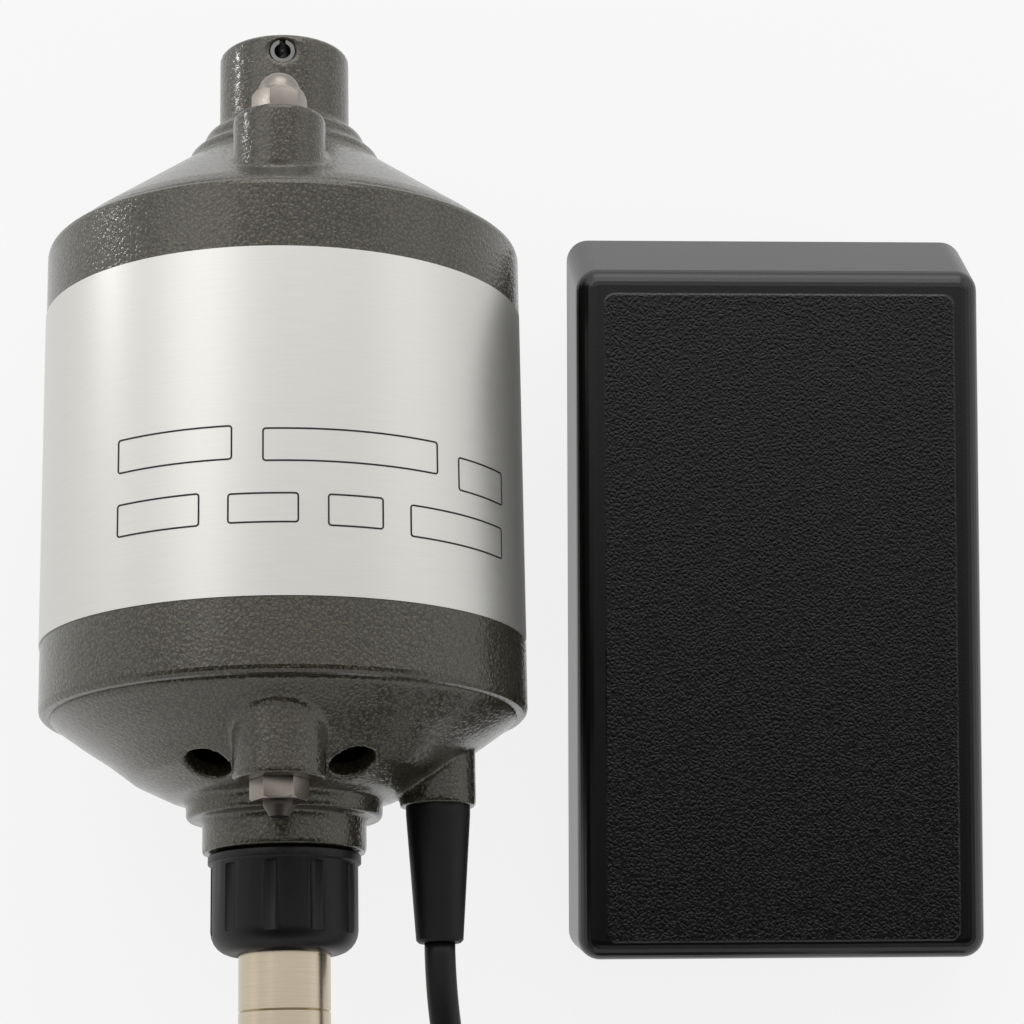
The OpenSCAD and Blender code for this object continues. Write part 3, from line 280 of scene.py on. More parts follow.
def grainedTreadle():
    # black ABS moulded in a leather grain about 0.95 mm wide, with a smooth border round it
    grain, depth = 0.95 * mm, 0.12 * mm
    panel = {"centre": (0.0, 58.8 * mm, 0.0), "half": (36.0 * mm, 65.9 * mm), "corner": 2.0 * mm,
             "fade": 0.3 * mm, "low": 13.8 * mm, "high": 14.6 * mm}
    material, tree = startFinish("grainedTreadle")
    point = localPoint(tree, treadlePlace)
    fromCentre = addNode(tree, "ShaderNodeVectorMath", {0: point, 1: panel["centre"]}, operation="SUBTRACT")
    folded = addNode(tree, "ShaderNodeVectorMath", {0: fromCentre.outputs[0]}, operation="ABSOLUTE")
    inner = (panel["half"][0] - panel["corner"], panel["half"][1] - panel["corner"], 0.0)
    past = addNode(tree, "ShaderNodeVectorMath", {0: folded.outputs[0], 1: inner}, operation="SUBTRACT")
    outside = addNode(tree, "ShaderNodeVectorMath", {
        0: past.outputs[0], 1: (0.0, 0.0, 0.0)}, operation="MAXIMUM")
    flat = addNode(tree, "ShaderNodeVectorMath", {
        0: outside.outputs[0], 1: (1.0, 1.0, 0.0)}, operation="MULTIPLY")
    reach = addNode(tree, "ShaderNodeVectorMath", {0: flat.outputs[0]}, operation="LENGTH")
    inPanel = addNode(tree, "ShaderNodeMapRange", {
        "Value": reach.outputs["Value"], "From Min": panel["corner"] - panel["fade"],
        "From Max": panel["corner"] + panel["fade"], "To Min": 1.0, "To Max": 0.0},
        interpolation_type="SMOOTHSTEP")
    up = addNode(tree, "ShaderNodeSeparateXYZ", {0: point})
    onTop = addNode(tree, "ShaderNodeMapRange", {
        "Value": up.outputs[2], "From Min": panel["low"], "From Max": panel["high"]})
    mask = addNode(tree, "ShaderNodeMath", {0: inPanel.outputs[0], 1: onTop.outputs[0]}, operation="MULTIPLY")
    drift = addNode(tree, "ShaderNodeTexNoise", {"Vector": point, "Scale": 0.5 / grain, "Detail": 2.0})
    moved = addNode(tree, "ShaderNodeVectorMath", {
        0: drift.outputs["Color"], 1: (grain * 1.4,) * 3, 2: point}, operation="MULTIPLY_ADD")
    pebbles = addNode(tree, "ShaderNodeTexVoronoi", {
        "Vector": moved.outputs[0], "Scale": 1 / grain}, feature="DISTANCE_TO_EDGE")
    domes = addNode(tree, "ShaderNodeMapRange", {
        "Value": pebbles.outputs["Distance"], "From Max": 0.34}, interpolation_type="SMOOTHSTEP")
    pores = addNode(tree, "ShaderNodeTexNoise", {"Vector": point, "Scale": 2.2 / grain, "Detail": 3.0})
    rise = addNode(tree, "ShaderNodeMath", {
        0: pores.outputs["Fac"], 1: 0.6, 2: domes.outputs[0]}, operation="MULTIPLY_ADD")
    lifted = addNode(tree, "ShaderNodeMath", {0: rise.outputs[0], 1: 0.5, 2: 1.2}, operation="MULTIPLY_ADD")
    height = addNode(tree, "ShaderNodeMath", {0: mask.outputs[0], 1: lifted.outputs[0]}, operation="MULTIPLY")
    skin = addNode(tree, "ShaderNodeMath", {
        0: pores.outputs["Fac"], 1: 0.18, 2: height.outputs[0]}, operation="MULTIPLY_ADD")
    bump = addNode(tree, "ShaderNodeBump", {"Height": skin.outputs[0], "Distance": depth, "Strength": 1.0})
    # painted shade: the hollows between the grain's pebbles are darker than the pebble tops
    tone = addNode(tree, "ShaderNodeMix", {
        0: domes.outputs[0], 6: linearOf("010101"), 7: linearOf("0f0f10")}, data_type="RGBA")
    smoothTone = addNode(tree, "ShaderNodeMix", {
        0: mask.outputs[0], 6: linearOf("0a0a0b"), 7: tone.outputs[2]}, data_type="RGBA")
    rough = addNode(tree, "ShaderNodeMapRange", {"Value": mask.outputs[0], "To Min": 0.28, "To Max": 0.3})
    closeFinish(tree, addNode(tree, "ShaderNodeBsdfPrincipled", {
        "Base Color": smoothTone.outputs[2], "Roughness": rough.outputs[0], "IOR": 1.5,
        "Specular IOR Level": 0.5, "Normal": bump.outputs[0]}))
    return material


def cordRubber(name, colour, roughness):
    # extruded jacket: faint rings from the puller and a dry bloom, laid out along the cord
    pitch = 0.9 * mm
    material, tree = startFinish(name)
    along = addNode(tree, "ShaderNodeUVMap", uv_map="along")
    stretched = addNode(tree, "ShaderNodeVectorMath", {
        0: along.outputs[0], 1: (1 / pitch, 90.0, 0.0)}, operation="MULTIPLY")
    drawn = addNode(tree, "ShaderNodeTexNoise", {"Vector": stretched.outputs[0], "Scale": 1.0, "Detail": 2.0})
    bloom = addNode(tree, "ShaderNodeTexNoise", {"Vector": along.outputs[0], "Scale": 160.0, "Detail": 4.0})
    tone = addNode(tree, "ShaderNodeMix", {
        0: bloom.outputs["Fac"], 6: linearOf(colour), 7: linearOf("1a1a1b")}, data_type="RGBA")
    bump = addNode(tree, "ShaderNodeBump", {
        "Height": drawn.outputs["Fac"], "Distance": 0.02 * mm, "Strength": 1.0})
    rough = addNode(tree, "ShaderNodeMapRange", {
        "Value": bloom.outputs["Fac"], "To Min": roughness - 0.08, "To Max": roughness + 0.1})
    closeFinish(tree, addNode(tree, "ShaderNodeBsdfPrincipled", {
        "Base Color": tone.outputs[2], "Roughness": rough.outputs[0], "IOR": 1.5,
        "Specular IOR Level": 0.3, "Normal": bump.outputs[0]}))
    return material


def wovenStrap():
    # woven nylon strap: 0.8 mm ribs both ways, so that the weave shows
    rib = 0.8 * mm
    material, tree = startFinish("wovenStrap")
    along = addNode(tree, "ShaderNodeUVMap", uv_map="along")
    scaled = addNode(tree, "ShaderNodeVectorMath", {
        0: along.outputs[0], 1: (math.pi / rib, math.pi / rib, 0.0)}, operation="MULTIPLY")
    parts = addNode(tree, "ShaderNodeSeparateXYZ", {0: scaled.outputs[0]})
    warp = addNode(tree, "ShaderNodeMath", {0: parts.outputs[0]}, operation="SINE")
    weft = addNode(tree, "ShaderNodeMath", {0: parts.outputs[1]}, operation="SINE")
    weave = addNode(tree, "ShaderNodeMath", {0: warp.outputs[0], 1: weft.outputs[0]}, operation="MULTIPLY")
    tone = addNode(tree, "ShaderNodeMix", {
        0: weave.outputs[0], 6: linearOf("1c1c1e"), 7: linearOf("38383b")}, data_type="RGBA")
    bump = addNode(tree, "ShaderNodeBump", {
        "Height": weave.outputs[0], "Distance": 0.12 * mm, "Strength": 1.0})
    closeFinish(tree, addNode(tree, "ShaderNodeBsdfPrincipled", {
        "Base Color": tone.outputs[2], "Roughness": 0.85, "Sheen Weight": 0.4, "Normal": bump.outputs[0]}))
    return material


finish = {
    "hammertone": hammertoneEnamel(),
    "label_foil": brushedFoil(),
    "zinc": metalFinish("zincPlate", "98918a", "827b73", 0.36),
    "spring_steel": metalFinish("springSteel", "858484", "686767", 0.36),
    "studSteel": metalFinish("oiledStudSteel", "5d5954", "3f3c39", 0.42),
    "nickel": turnedNickel("turnedNickelFerrule", motorPlace),
    "handNickel": turnedNickel("turnedNickelHandpiece", handPlace),
    "bearing_steel": metalFinish("groundBearingSteel", "b6babd", "a3a7aa", 0.24),
    "lamination": metalFinish("stampedLaminations", "77797b", "57595b", 0.5, grain=0.5, depth=0.03),
    "enamelled_wire": metalFinish("enamelledCopperWire", "9c5630", "7c3d1e", 0.38, grain=0.7, depth=0.12),
    "copper": metalFinish("machinedCopper", "c07c44", "a8672f", 0.3),
    "brass": metalFinish("rolledBrass", "bb9a50", "a58440", 0.32),
    "phenolic": mouldedFinish("phenolicSheet", "4c3320", "5c4029", 0.5),
    "carbon": mouldedFinish("pressedCarbon", "262628", "343436", 0.62, grain=0.3),
    "nut_plastic": mouldedFinish("mouldedNylonNut", "090909", "121213", 0.42, grain=0.45, depth=0.02),
    "black_rubber": mouldedFinish("mouldedRubber", "080808", "101010", 0.5, grain=0.4),
    "sheathRubber": cordRubber("sheathRubber", "0e0e0e", 0.5),
    "cord_rubber": cordRubber("cordJacket", "0a0a0a", 0.46),
    "strap": wovenStrap(),
    "grip_black": mouldedFinish("anodisedAluminiumGrip", "121213", "1a1a1b", 0.36, grain=0.25, depth=0.008),
    "plug_plastic": mouldedFinish("mouldedPvcPlug", "0b0b0c", "141415", 0.45),
    "blade_brass": metalFinish("platedBrassBlades", "cdb87f", "b8a26a", 0.28),
    "fan_plastic": mouldedFinish("glassFilledFan", "303234", "3c3e40", 0.5),
    "pedal_plastic": grainedTreadle(),
    "trayPlastic": mouldedFinish("mouldedAbsTray", "0d0d0e", "151516", 0.48),
    "foot_rubber": mouldedFinish("footRubber", "0c0c0c", "151515", 0.65),
    "board_green": mouldedFinish("mouldedControlHousing", "2b5238", "366246", 0.5),
    "plunger_nylon": mouldedFinish("naturalNylon", "d6d1c4", "dfdbd0", 0.4),
}
ink = mouldedFinish("printedInk", "1d1d1f", "232325", 0.4, depth=0.004)
print("finishes ready")


slotOf = {part["node"]: part["material_slot"] for part in frame["record"]["subparts"]}
special = {"pedal_base": "trayPlastic", "tie_studs": "studSteel", "handpiece_socket": "handNickel",
           "handpiece_nose": "handNickel", "collet_nut": "handNickel"}
for name, node in nodes.items():
    for place in node.material_slots:
        place.material = finish[special.get(name, slotOf[name])]
print("CAD parts finished")


easing = {"flat": math.radians(1.0), "edge": math.radians(28), "segments": 2}


def easedCopy(nodeName, pieceName, width, body="housing"):
    # the CAD piece with its sharp edges broken to a width in millimetres
    mesh = bpy.data.meshes.new("sharp")
    sharp = mergedCopy(nodeName)
    bmesh.ops.dissolve_limit(sharp, angle_limit=easing["flat"], verts=sharp.verts, edges=sharp.edges)
    sharp.to_mesh(mesh)
    sharp.free()
    for face in mesh.polygons:
        face.use_smooth = True
    obj = carrier(mesh)
    edge = obj.modifiers.new("edge", "BEVEL")
    edge.width, edge.segments, edge.limit_method = width * mm, easing["segments"], "ANGLE"
    edge.angle_limit, edge.harden_normals = easing["edge"], True
    slot = slotOf[nodeName]
    piece = meshObject(pieceName, evaluatedMesh(obj, pieceName), finish[slot], body)
    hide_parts(nodeName)
    return piece


def smoothRoute(points, steps=8):
    # Catmull-Rom through the route's points
    line = [Vector(p) for p in points]
    ends = [2 * line[0] - line[1]] + line + [2 * line[-1] - line[-2]]
    out = []
    for a, b, c, d in zip(ends, ends[1:], ends[2:], ends[3:]):
        for k in range(steps):
            t = k / steps
            out.append(0.5 * (2 * b + (c - a) * t + (2 * a - 5 * b + 4 * c - d) * t * t
                              + (3 * b - a - 3 * c + d) * t ** 3))
    return out + [line[-1]]


# millimetres between loops, the strap's thickness under them, steps along a line, and how
# often each line is smoothed for every millimetre of its cord
laying = {"gap": 0.6, "lift": 0.8, "perTurn": 48, "coarse": 1.5, "fine": 2.0, "rounds": 4}


def loops(coil):
    # spiral in on the bench, climb a layer, spiral out on top
    step, count = coil["cord"] + laying["gap"], round(coil["turns"] * laying["perTurn"])
    points = []
    for i in range(count + 1):
        t = i * coil["turns"] / count
        a = math.radians(coil["start"] + coil["way"] * 360 * t)
        q = coil["radius"] - step * min(t, coil["turns"] - t)
        rise = min(1.0, max(0.0, (t - coil["turns"] / 2 + 0.25) / 0.5))
        points.append(Vector((coil["at"][0] + q * math.cos(a), coil["at"][1] + q * math.sin(a),
                              laying["lift"] + coil["cord"] / 2 + step * rise)))
    return points


def tubeAlong(name, line, radius, sides):
    # a round tube with its own unrolled map: x along it, y round it, in metres
    bm = bmesh.new()
    chart = bm.loops.layers.uv.new("along")
    side, rings, run = Vector((1, 0, 0)), [], [0.0]
    for i, point in enumerate(line):
        heading = (line[min(i + 1, len(line) - 1)] - line[max(i - 1, 0)]).normalized()
        side = (side - heading * side.dot(heading)).normalized()
        up = heading.cross(side)
        if i:
            run.append(run[-1] + (point - line[i - 1]).length)
        rings.append([bm.verts.new(point + radius * (math.cos(a) * side + math.sin(a) * up))
                      for a in (2 * math.pi * k / sides for k in range(sides))])
    for i, (low, high) in enumerate(zip(rings, rings[1:])):
        for k in range(sides):
            face = bm.faces.new((low[k], low[(k + 1) % sides], high[(k + 1) % sides], high[k]))
            spots = ((run[i], k), (run[i], k + 1), (run[i + 1], k + 1), (run[i + 1], k))
            for loop, (u, v) in zip(face.loops, spots):
                loop[chart].uv = (u, 2 * math.pi * radius * v / sides)
    bm.faces.new(list(reversed(rings[0])))
    bm.faces.new(rings[-1])
    return meshFrom(name, bm)


sheath = {
    "cord": 12.0, "radius": 69.0, "turns": 2.625, "start": 90, "way": -1, "at": (21.0, -218.0),
    "run": [(-48, -44, 48), (-48, -54, 48), (-48, -64, 48), (-48, -71, 47.2), (-48, -78, 45.4),
            (-48, -85, 42.7), (-46.75, -96.7, 37.6), (-43.05, -108.9, 32), (-37.05, -120.1, 25.8),
            (-28.95, -130, 19.9), (-19.1, -138.05, 14.6), (-7.9, -144.05, 10.4), (0, -146.9, 7.9),
            (7.5, -148.55, 7.1), (12.5, -149, 6.85), (17, -149, 6.8)],
    "tail": [(-30.6, -264, 19.4), (-37.7, -256.9, 19.4), (-47.6, -247, 19.4), (-57.5, -237.1, 19.3),
             (-66.4, -228.2, 18.7), (-73.9, -219.1, 17.2), (-79.4, -208.8, 15.4), (-82.85, -197.5, 13.7),
             (-84, -185.8, 12.6), (-84, -180, 12.5)],
}
mains = {
    "cord": 6.0, "radius": 45.0, "turns": 6.25, "start": 180, "way": 1, "at": (30.0, -83.0),
    "run": [(-18, -4, 48), (-18, -10, 48), (-17.5, -17, 47.2), (-16.3, -25, 44.8), (-15.2, -33.5, 40.2),
            (-14.5, -41, 33.8), (-14.2, -47, 26), (-14.3, -53, 17.6), (-14.6, -60.5, 10.4),
            (-15, -68.5, 5.7), (-15, -75, 4), (-15, -79, 3.8)],
    "tail": [(34, -128, 10.4), (41, -128, 10.4), (48, -128, 9.7), (54, -128, 8.2), (63.3, -126.8, 5.4),
             (72, -123.2, 3.3), (79.5, -117.5, 3), (85.2, -110, 3.1), (88.8, -101.3, 4.6), (90, -92, 7),
             (90, -87, 7.8), (90, -83, 8)],
}


def evenLine(line, step):
    # the same line with points at equal steps
    out, left = [line[0]], step
    for a, b in zip(line, line[1:]):
        span, done = (b - a).length, 0.0
        while span - done >= left:
            done += left
            out.append(a + (b - a) * (done / span))
            left = step
        left -= span - done
    if (out[-1] - line[-1]).length < step / 2:
        out.pop()
    return out + [line[-1]]


def wholeLine(part):
    # run, coil and tail as one line; its two ends and its height off the bench are kept
    line = evenLine(smoothRoute(part["run"]) + loops(part) + smoothRoute(part["tail"]), laying["coarse"])
    lowest = part["cord"] / 2
    for _ in range(int(part["cord"] * laying["rounds"])):
        middle = [(a + 2 * b + c) / 4 for a, b, c in zip(line[1:], line[2:], line[3:])]
        line = line[:2] + [Vector((p.x, p.y, max(p.z, lowest))) for p in middle] + line[-2:]
    return [p * mm for p in evenLine(line, laying["fine"])]


def lengthOf(line):
    return sum((b - a).length for a, b in zip(line, line[1:]))


sheathLine, mainsLine = wholeLine(sheath), wholeLine(mains)
sheathTube = meshObject("sheathTube", tubeAlong("sheathTube", sheathLine, sheath["cord"] / 2 * mm, 24),
                        finish["sheathRubber"])
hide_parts("flex_sheath_run", "flex_sheath_coil", "flex_sheath_tail")
mainsCord = meshObject("mainsCord", tubeAlong("mainsCord", mainsLine, mains["cord"] / 2 * mm, 20),
                       finish["cord_rubber"])
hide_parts("mains_cord_run", "mains_cord_coil", "mains_cord_tail")
print("cords laid", round(lengthOf(sheathLine), 3), round(lengthOf(mainsLine), 3))


webbing = {"thick": 0.8, "inside": 1.0, "loose": 0.3, "bend": 0.42, "arc": 6,
           "lapFrom": 9, "lapTo": 24, "lapGap": 0.05, "lapInset": 0.4}


def strapRound(name, coil, angle, width, node):
    # a woven strap round all the loops, its free end lapped over on top
    step, thick = coil["cord"] + laying["gap"], webbing["thick"]
    low = coil["radius"] - step * coil["turns"] / 2 - coil["cord"] / 2 - webbing["inside"]
    high = coil["radius"] + coil["cord"] / 2 + webbing["loose"]
    top = laying["lift"] + 2 * coil["cord"] + laying["gap"] + webbing["loose"]
    bend = coil["cord"] * webbing["bend"]
    corners = [(low + bend, thick / 2, 180, 270), (high - bend, thick / 2, 270, 360),
               (high - bend, top, 0, 90), (low + bend, top, 90, 180)]
    path = []
    for x, z, a0, a1 in corners:
        r = bend + thick / 2
        centreZ = (thick / 2 + r) if a0 >= 180 else top + thick / 2 - r
        for k in range(webbing["arc"] + 1):
            a = math.radians(a0 + (a1 - a0) * k / webbing["arc"])
            path.append(Vector((x + r * math.cos(a), 0, centreZ + r * math.sin(a))))
    turn = (Matrix.Translation((coil["at"][0] * mm, coil["at"][1] * mm, 0))
            @ Matrix.Rotation(math.radians(angle), 4, "Z") @ Matrix.Scale(mm, 4))

    def band(points, offset, half, closed):
        bm = bmesh.new()
        chart = bm.loops.layers.uv.new("along")
        rows, run = [], [0.0]
        for i, p in enumerate(points):
            q, s = points[(i + 1) % len(points)], points[i - 1]
            if not closed:
                q, s = points[min(i + 1, len(points) - 1)], points[max(i - 1, 0)]
            heading = (q - s).normalized()
            out = Vector((heading.z, 0, -heading.x))
            if i:
                run.append(run[-1] + (p - points[i - 1]).length)
            section = (-thick / 2, -half), (thick / 2, -half), (thick / 2, half), (-thick / 2, half)
            rows.append([bm.verts.new(p + out * (offset + o) + Vector((0, y, 0))) for o, y in section])
        pairs = list(zip(range(len(rows)), range(1, len(rows)))) + ([(len(rows) - 1, 0)] if closed else [])
        for i, j in pairs:
            uNext = run[j] if j else run[i] + (points[0] - points[i]).length
            for k in range(4):
                face = bm.faces.new((rows[i][k], rows[i][(k + 1) % 4], rows[j][(k + 1) % 4], rows[j][k]))
                across = (0, thick, thick + 2 * half, 2 * thick + 2 * half, 2 * thick + 4 * half)
                for loop, (u, v) in zip(face.loops, ((run[i], across[k]), (run[i], across[k + 1]),
                                                     (uNext, across[k + 1]), (uNext, across[k]))):
                    loop[chart].uv = (u * mm, v * mm)
        if not closed:
            bm.faces.new(list(reversed(rows[0])))
            bm.faces.new(rows[-1])
        return bm

    main = meshFrom(name, band(path, 0.0, width / 2, True), turn, smooth=False)
    piece = meshObject(name, main, finish["strap"])
    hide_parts(node)
    # the lapped end runs over the top and down the outside
    over = path[webbing["lapFrom"]:webbing["lapTo"]][::-1]
    lap = band(over, -thick - webbing["lapGap"], width / 2 - webbing["lapInset"], False)
    lapped = meshFrom(name + "Flap", lap, turn, smooth=False)
    flap = meshObject(name + "Flap", lapped, finish["strap"])
    return piece, flap


sheathStrap, sheathFlap = strapRound("sheathStrap", sheath, -30, 14, "sheath_tie")
cordStrap, cordFlap = strapRound("cordStrap", mains, 75, 10, "cord_tie")
plugBlades = easedCopy("plug_blades", "plugBlades", 0.3)


def softCasting(nodeName, pieceName, voxel, rounds):
    # outer edges and inner corners rounded as a mould and stoved paint leave them
    mesh = bpy.data.meshes.new("rough")
    rough = mergedCopy(nodeName)
    rough.to_mesh(mesh)
    rough.free()
    obj = carrier(mesh)
    voxels = obj.modifiers.new("voxels", "REMESH")
    voxels.mode, voxels.voxel_size, voxels.use_smooth_shade = "VOXEL", voxel * mm, True
    ease = obj.modifiers.new("ease", "SMOOTH")
    ease.factor, ease.iterations = 0.5, rounds
    piece = meshObject(pieceName, evaluatedMesh(obj, pieceName), finish["hammertone"])
    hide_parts(nodeName)
    print(pieceName, len(piece.data.polygons), "faces")


softCasting("upper_bell", "upperCasting", 0.6, 4)
softCasting("lower_bell", "lowerCasting", 0.55, 3)


# millimetres on the shell; each empty field has its two angles and its two heights
label = {"shell": 48.0, "line": 0.32, "lift": 0.23, "thick": 0.03, "corner": 0.7, "arc": 6, "stride": 1.0,
         "fields": [(-38.6, -9.8, 40.1, 46.8), (-3.2, 38.5, 39.6, 46.1), (44.7, 62.3, 37.5, 44.2),
                    (-38.6, -17.2, 27.8, 34.2), (-10.9, 4.9, 27.9, 33.7), (11.2, 24.1, 27.4, 33.6),
                    (30.7, 61.7, 26.7, 33.0)]}


def printedField(bm, a0, a1, z0, z1):
    # an outlined field with rounded corners, laid on the shell's curve
    r = label["shell"] + label["lift"]
    x0, x1 = math.radians(a0) * r, math.radians(a1) * r
    c, w = label["corner"], label["line"]
    outline = []
    for cx, cz, start in ((x1 - c, z1 - c, 0), (x0 + c, z1 - c, 90),
                          (x0 + c, z0 + c, 180), (x1 - c, z0 + c, 270)):
        outline += [(cx, cz, math.radians(start + 90 * k / label["arc"])) for k in range(label["arc"] + 1)]
    # long sides take more points, so that they follow the curve
    points = []
    for (ax, az, aa), (bx, bz, _) in zip(outline, outline[1:] + outline[:1]):
        parts = max(1, round(abs(bx - ax) / label["stride"]))
        for k in range(parts):
            t = k / parts
            points.append((ax + (bx - ax) * t, az + (bz - az) * t, aa))
    rings = []
    for x, z, a in points:
        row = []
        for inset, lift in ((0, 0), (0, label["thick"]), (w, label["thick"]), (w, 0)):
            px, pz = x + (c - inset) * math.cos(a), z + (c - inset) * math.sin(a)
            q = px / r
            rr = r + lift
            row.append(bm.verts.new((rr * math.sin(q), -rr * math.cos(q), pz)))
        rings.append(row)
    for low, high in zip(rings, rings[1:] + rings[:1]):
        for k in range(4):
            bm.faces.new((low[k], low[(k + 1) % 4], high[(k + 1) % 4], high[k]))


fieldMesh = bmesh.new()
for field in label["fields"]:
    printedField(fieldMesh, *field)
meshObject("labelFields", meshFrom("labelFields", fieldMesh, motorPlace @ Matrix.Scale(mm, 4)),
           ink)
print("label fields printed")


easedCopy("stud_nuts", "studNuts", 0.25)
easedCopy("cap_nuts", "capNuts", 0.25)
easedCopy("collar_nut", "collarNut", 0.3, body="collar_nut")


def growTree(name, sizes):
    tree = bpy.data.node_groups.new(name, "GeometryNodeTree")
    tree.is_modifier = True
    for title, kind in sizes:
        tree.interface.new_socket(title, in_out="INPUT", socket_type=kind)
    tree.interface.new_socket("Geometry", in_out="OUTPUT", socket_type="NodeSocketGeometry")
    return tree, tree.nodes.new("NodeGroupInput")


def grow(tree, values, name):
    obj = carrier(bpy.data.meshes.new("seed"))
    modifier = obj.modifiers.new("grow", "NODES")
    modifier.node_group = tree
    for item in tree.interface.items_tree:
        if item.in_out == "INPUT" and item.name in values:
            modifier[item.identifier] = values[item.name]
    return evaluatedMesh(obj, name)


def springTree():
    tree, given = growTree("coilSpring", [
        ("Turns", "NodeSocketFloat"), ("Radius", "NodeSocketFloat"), ("Height", "NodeSocketFloat"),
        ("Wire", "NodeSocketFloat"), ("Finish", "NodeSocketMaterial")])
    helix = addNode(tree, "GeometryNodeCurveSpiral", {
        "Resolution": 32, "Rotations": given.outputs["Turns"], "Start Radius": given.outputs["Radius"],
        "End Radius": given.outputs["Radius"], "Height": given.outputs["Height"]})
    ring = addNode(tree, "GeometryNodeCurvePrimitiveCircle", {
        "Resolution": 12, "Radius": given.outputs["Wire"]})
    wire = addNode(tree, "GeometryNodeCurveToMesh", {
        "Curve": helix.outputs[0], "Profile Curve": ring.outputs[0], "Fill Caps": True})
    smooth = addNode(tree, "GeometryNodeSetShadeSmooth", {"Geometry": wire.outputs[0]})
    real = addNode(tree, "GeometryNodeRealizeInstances", {"Geometry": smooth.outputs[0]})
    finished = addNode(tree, "GeometryNodeSetMaterial", {
        "Geometry": real.outputs[0], "Material": given.outputs["Finish"]})
    addNode(tree, "NodeGroupOutput", {0: finished.outputs[0]})
    return tree


springs = springTree()
pedalSpring = {"radius": 4.8, "wire": 0.7, "turns": 7.0, "low": 6.0, "high": 40.3, "pressed": 29.5}
length = pedalSpring["high"] - pedalSpring["low"] - 2 * pedalSpring["wire"]
springMesh = grow(springs, {"Turns": pedalSpring["turns"], "Radius": pedalSpring["radius"] * mm,
                            "Height": length * mm, "Wire": pedalSpring["wire"] * mm,
                            "Finish": finish["spring_steel"]}, "returnSpring")
lowest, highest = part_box("return_spring")
springMesh.transform(Matrix.Translation(((lowest.x + highest.x) / 2, (lowest.y + highest.y) / 2,
                                         lowest.z + pedalSpring["wire"] * mm)))
returnSpring = meshObject("returnSpring", springMesh, finish["spring_steel"])
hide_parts("return_spring")
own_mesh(returnSpring)

brushSpring = {"radius": 1.85, "wire": 0.35, "turns": 4.0, "from": 27.0, "to": 34.8, "pushed": 3.0}
brushSpring["length"] = brushSpring["to"] - brushSpring["from"]
for side, way in (("left", -1), ("right", 1)):
    mesh = grow(springs, {"Turns": brushSpring["turns"], "Radius": brushSpring["radius"] * mm,
                          "Height": (brushSpring["length"] - 2 * brushSpring["wire"]) * mm,
                          "Wire": brushSpring["wire"] * mm, "Finish": finish["spring_steel"]},
                side + "BrushSpring")
    lowest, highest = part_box(side + "_brush_spring")
    mesh.transform(Matrix.Translation((lowest.x + brushSpring["wire"] * mm, (lowest.y + highest.y) / 2,
                                       (lowest.z + highest.z) / 2)) @ Matrix.Rotation(math.pi / 2, 4, "Y"))
    spring = meshObject(side + "BrushSpring", mesh, finish["spring_steel"])
    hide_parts(side + "_brush_spring")
    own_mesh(spring)
print("springs wound")


stageLook = {"floor": "f4f4f3", "glow": 0.84, "reach": 3.0}
floorMesh = bpy.data.meshes.new("floor")
reach = stageLook["reach"]
floorMesh.from_pydata([(-reach, -reach, 0), (reach, -reach, 0), (reach, reach, 0), (-reach, reach, 0)],
                      [], [(0, 1, 2, 3)])
floor = bpy.data.objects.new("floor", floorMesh)
scene.collection.objects.link(floor)
floorFinish, tree = startFinish("paleFloor")
rays = addNode(tree, "ShaderNodeLightPath")
mirrored = addNode(tree, "ShaderNodeMath", {
    0: rays.outputs["Is Glossy Ray"], 1: rays.outputs["Is Transmission Ray"]}, operation="MAXIMUM")
seen = addNode(tree, "ShaderNodeMath", {
    0: mirrored.outputs[0], 1: rays.outputs["Is Camera Ray"]}, operation="MAXIMUM")
amount = addNode(tree, "ShaderNodeMath", {0: seen.outputs[0], 1: stageLook["glow"]}, operation="MULTIPLY")
matte = addNode(tree, "ShaderNodeBsdfDiffuse", {"Color": linearOf(stageLook["floor"])})
glow = addNode(tree, "ShaderNodeEmission", {"Color": (1, 1, 1, 1), "Strength": 1.0})
closeFinish(tree, addNode(tree, "ShaderNodeMixShader", {
    0: amount.outputs[0], 1: matte.outputs[0], 2: glow.outputs[0]}))
floorMesh.materials.append(floorFinish)

world = bpy.data.worlds.new("studio")
scene.world = world
world.use_nodes = True
tree = world.node_tree
tree.nodes.clear()
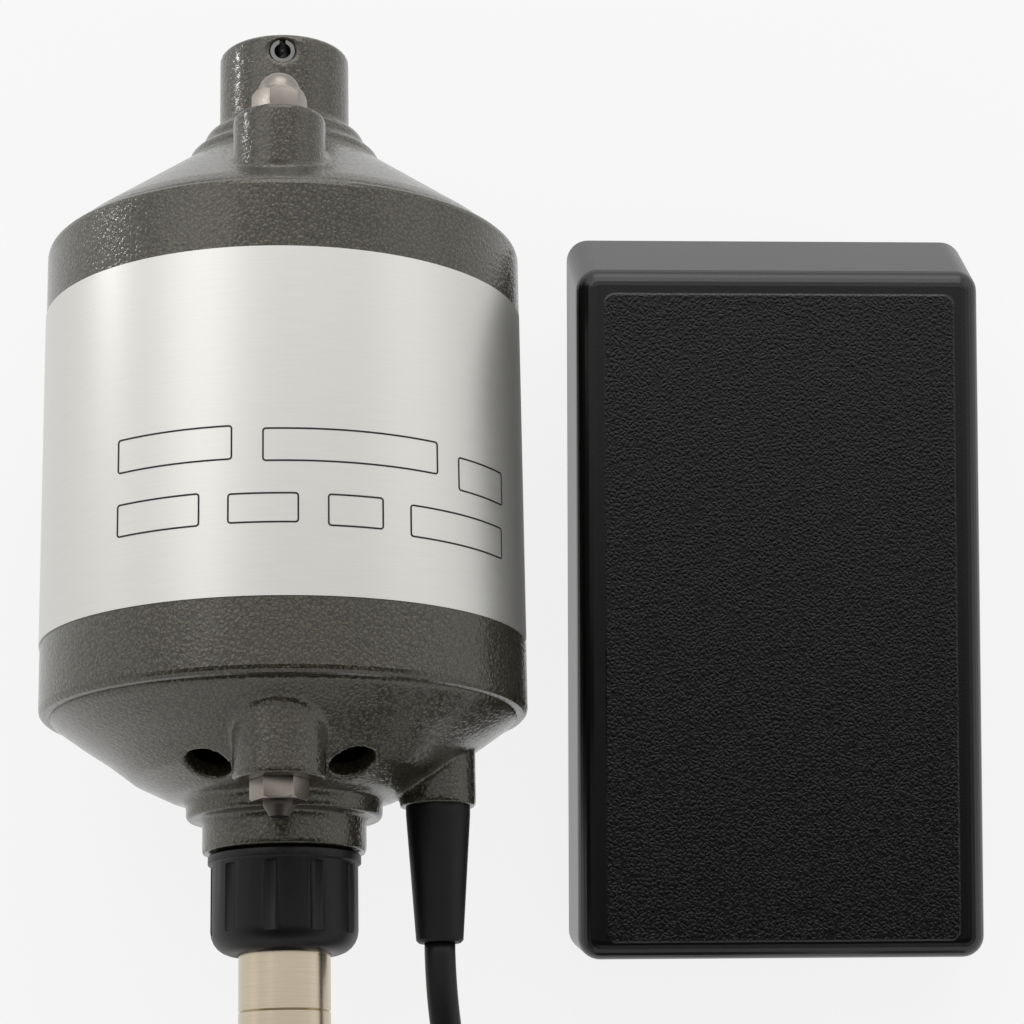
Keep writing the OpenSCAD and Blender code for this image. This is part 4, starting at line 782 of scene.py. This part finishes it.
# a white backdrop all round up to some height, and overhead a ceiling that darkens to the front
sky = {"diffuse": 0.42, "front": 0.02, "back": 0.95, "frontY": -0.27, "backY": 0.12, "low": 0.3, "high": 0.55}
heading = addNode(tree, "ShaderNodeSeparateXYZ", {0: addNode(tree, "ShaderNodeTexCoord").outputs["Generated"]})
ceiling = addNode(tree, "ShaderNodeMapRange", {
    "Value": heading.outputs[1], "From Min": sky["frontY"], "From Max": sky["backY"],
    "To Min": sky["front"], "To Max": sky["back"]}, interpolation_type="SMOOTHSTEP")
backdrop = addNode(tree, "ShaderNodeMapRange", {
    "Value": heading.outputs[2], "From Min": sky["low"], "From Max": sky["high"], "To Min": 1.0, "To Max": 0.0},
    interpolation_type="SMOOTHSTEP")
shown = addNode(tree, "ShaderNodeMath", {0: ceiling.outputs[0], 1: backdrop.outputs[0]}, operation="MAXIMUM")
rays = addNode(tree, "ShaderNodeLightPath")
mirrored = addNode(tree, "ShaderNodeMath", {
    0: rays.outputs["Is Glossy Ray"], 1: rays.outputs["Is Transmission Ray"]}, operation="MAXIMUM")
level = addNode(tree, "ShaderNodeMix", {0: mirrored.outputs[0], 2: sky["diffuse"], 3: shown.outputs[0]})
level = addNode(tree, "ShaderNodeMath", {
    0: level.outputs[0], 1: rays.outputs["Is Camera Ray"]}, operation="MAXIMUM")
light = addNode(tree, "ShaderNodeBackground", {"Color": (1, 1, 1, 1), "Strength": level.outputs[0]})
addNode(tree, "ShaderNodeOutputWorld", {"Surface": light.outputs[0]})

# each lamp's place, width in metres and watts; all point at the middle of the object
aim = Vector((-0.01, 0.07, 0.03))
lamps = [("backSoft", (0.1, 1.35, 0.85), 1.1, 7.0), ("leftSoft", (-0.85, 0.8, 1.1), 0.9, 2.5),
         ("rightSoft", (1.3, 0.9, 0.8), 0.9, 1.1), ("lowLeft", (-0.9, 0.55, 0.045), 0.08, 0.6)]
for name, spot, size, power in lamps:
    data = bpy.data.lights.new(name, "AREA")
    data.size, data.energy = size, power
    lamp = bpy.data.objects.new(name, data)
    scene.collection.objects.link(lamp)
    lamp.location = spot
    lamp.rotation_mode = "QUATERNION"
    lamp.rotation_quaternion = (aim - Vector(spot)).to_track_quat("-Z", "Y")
print("light set")
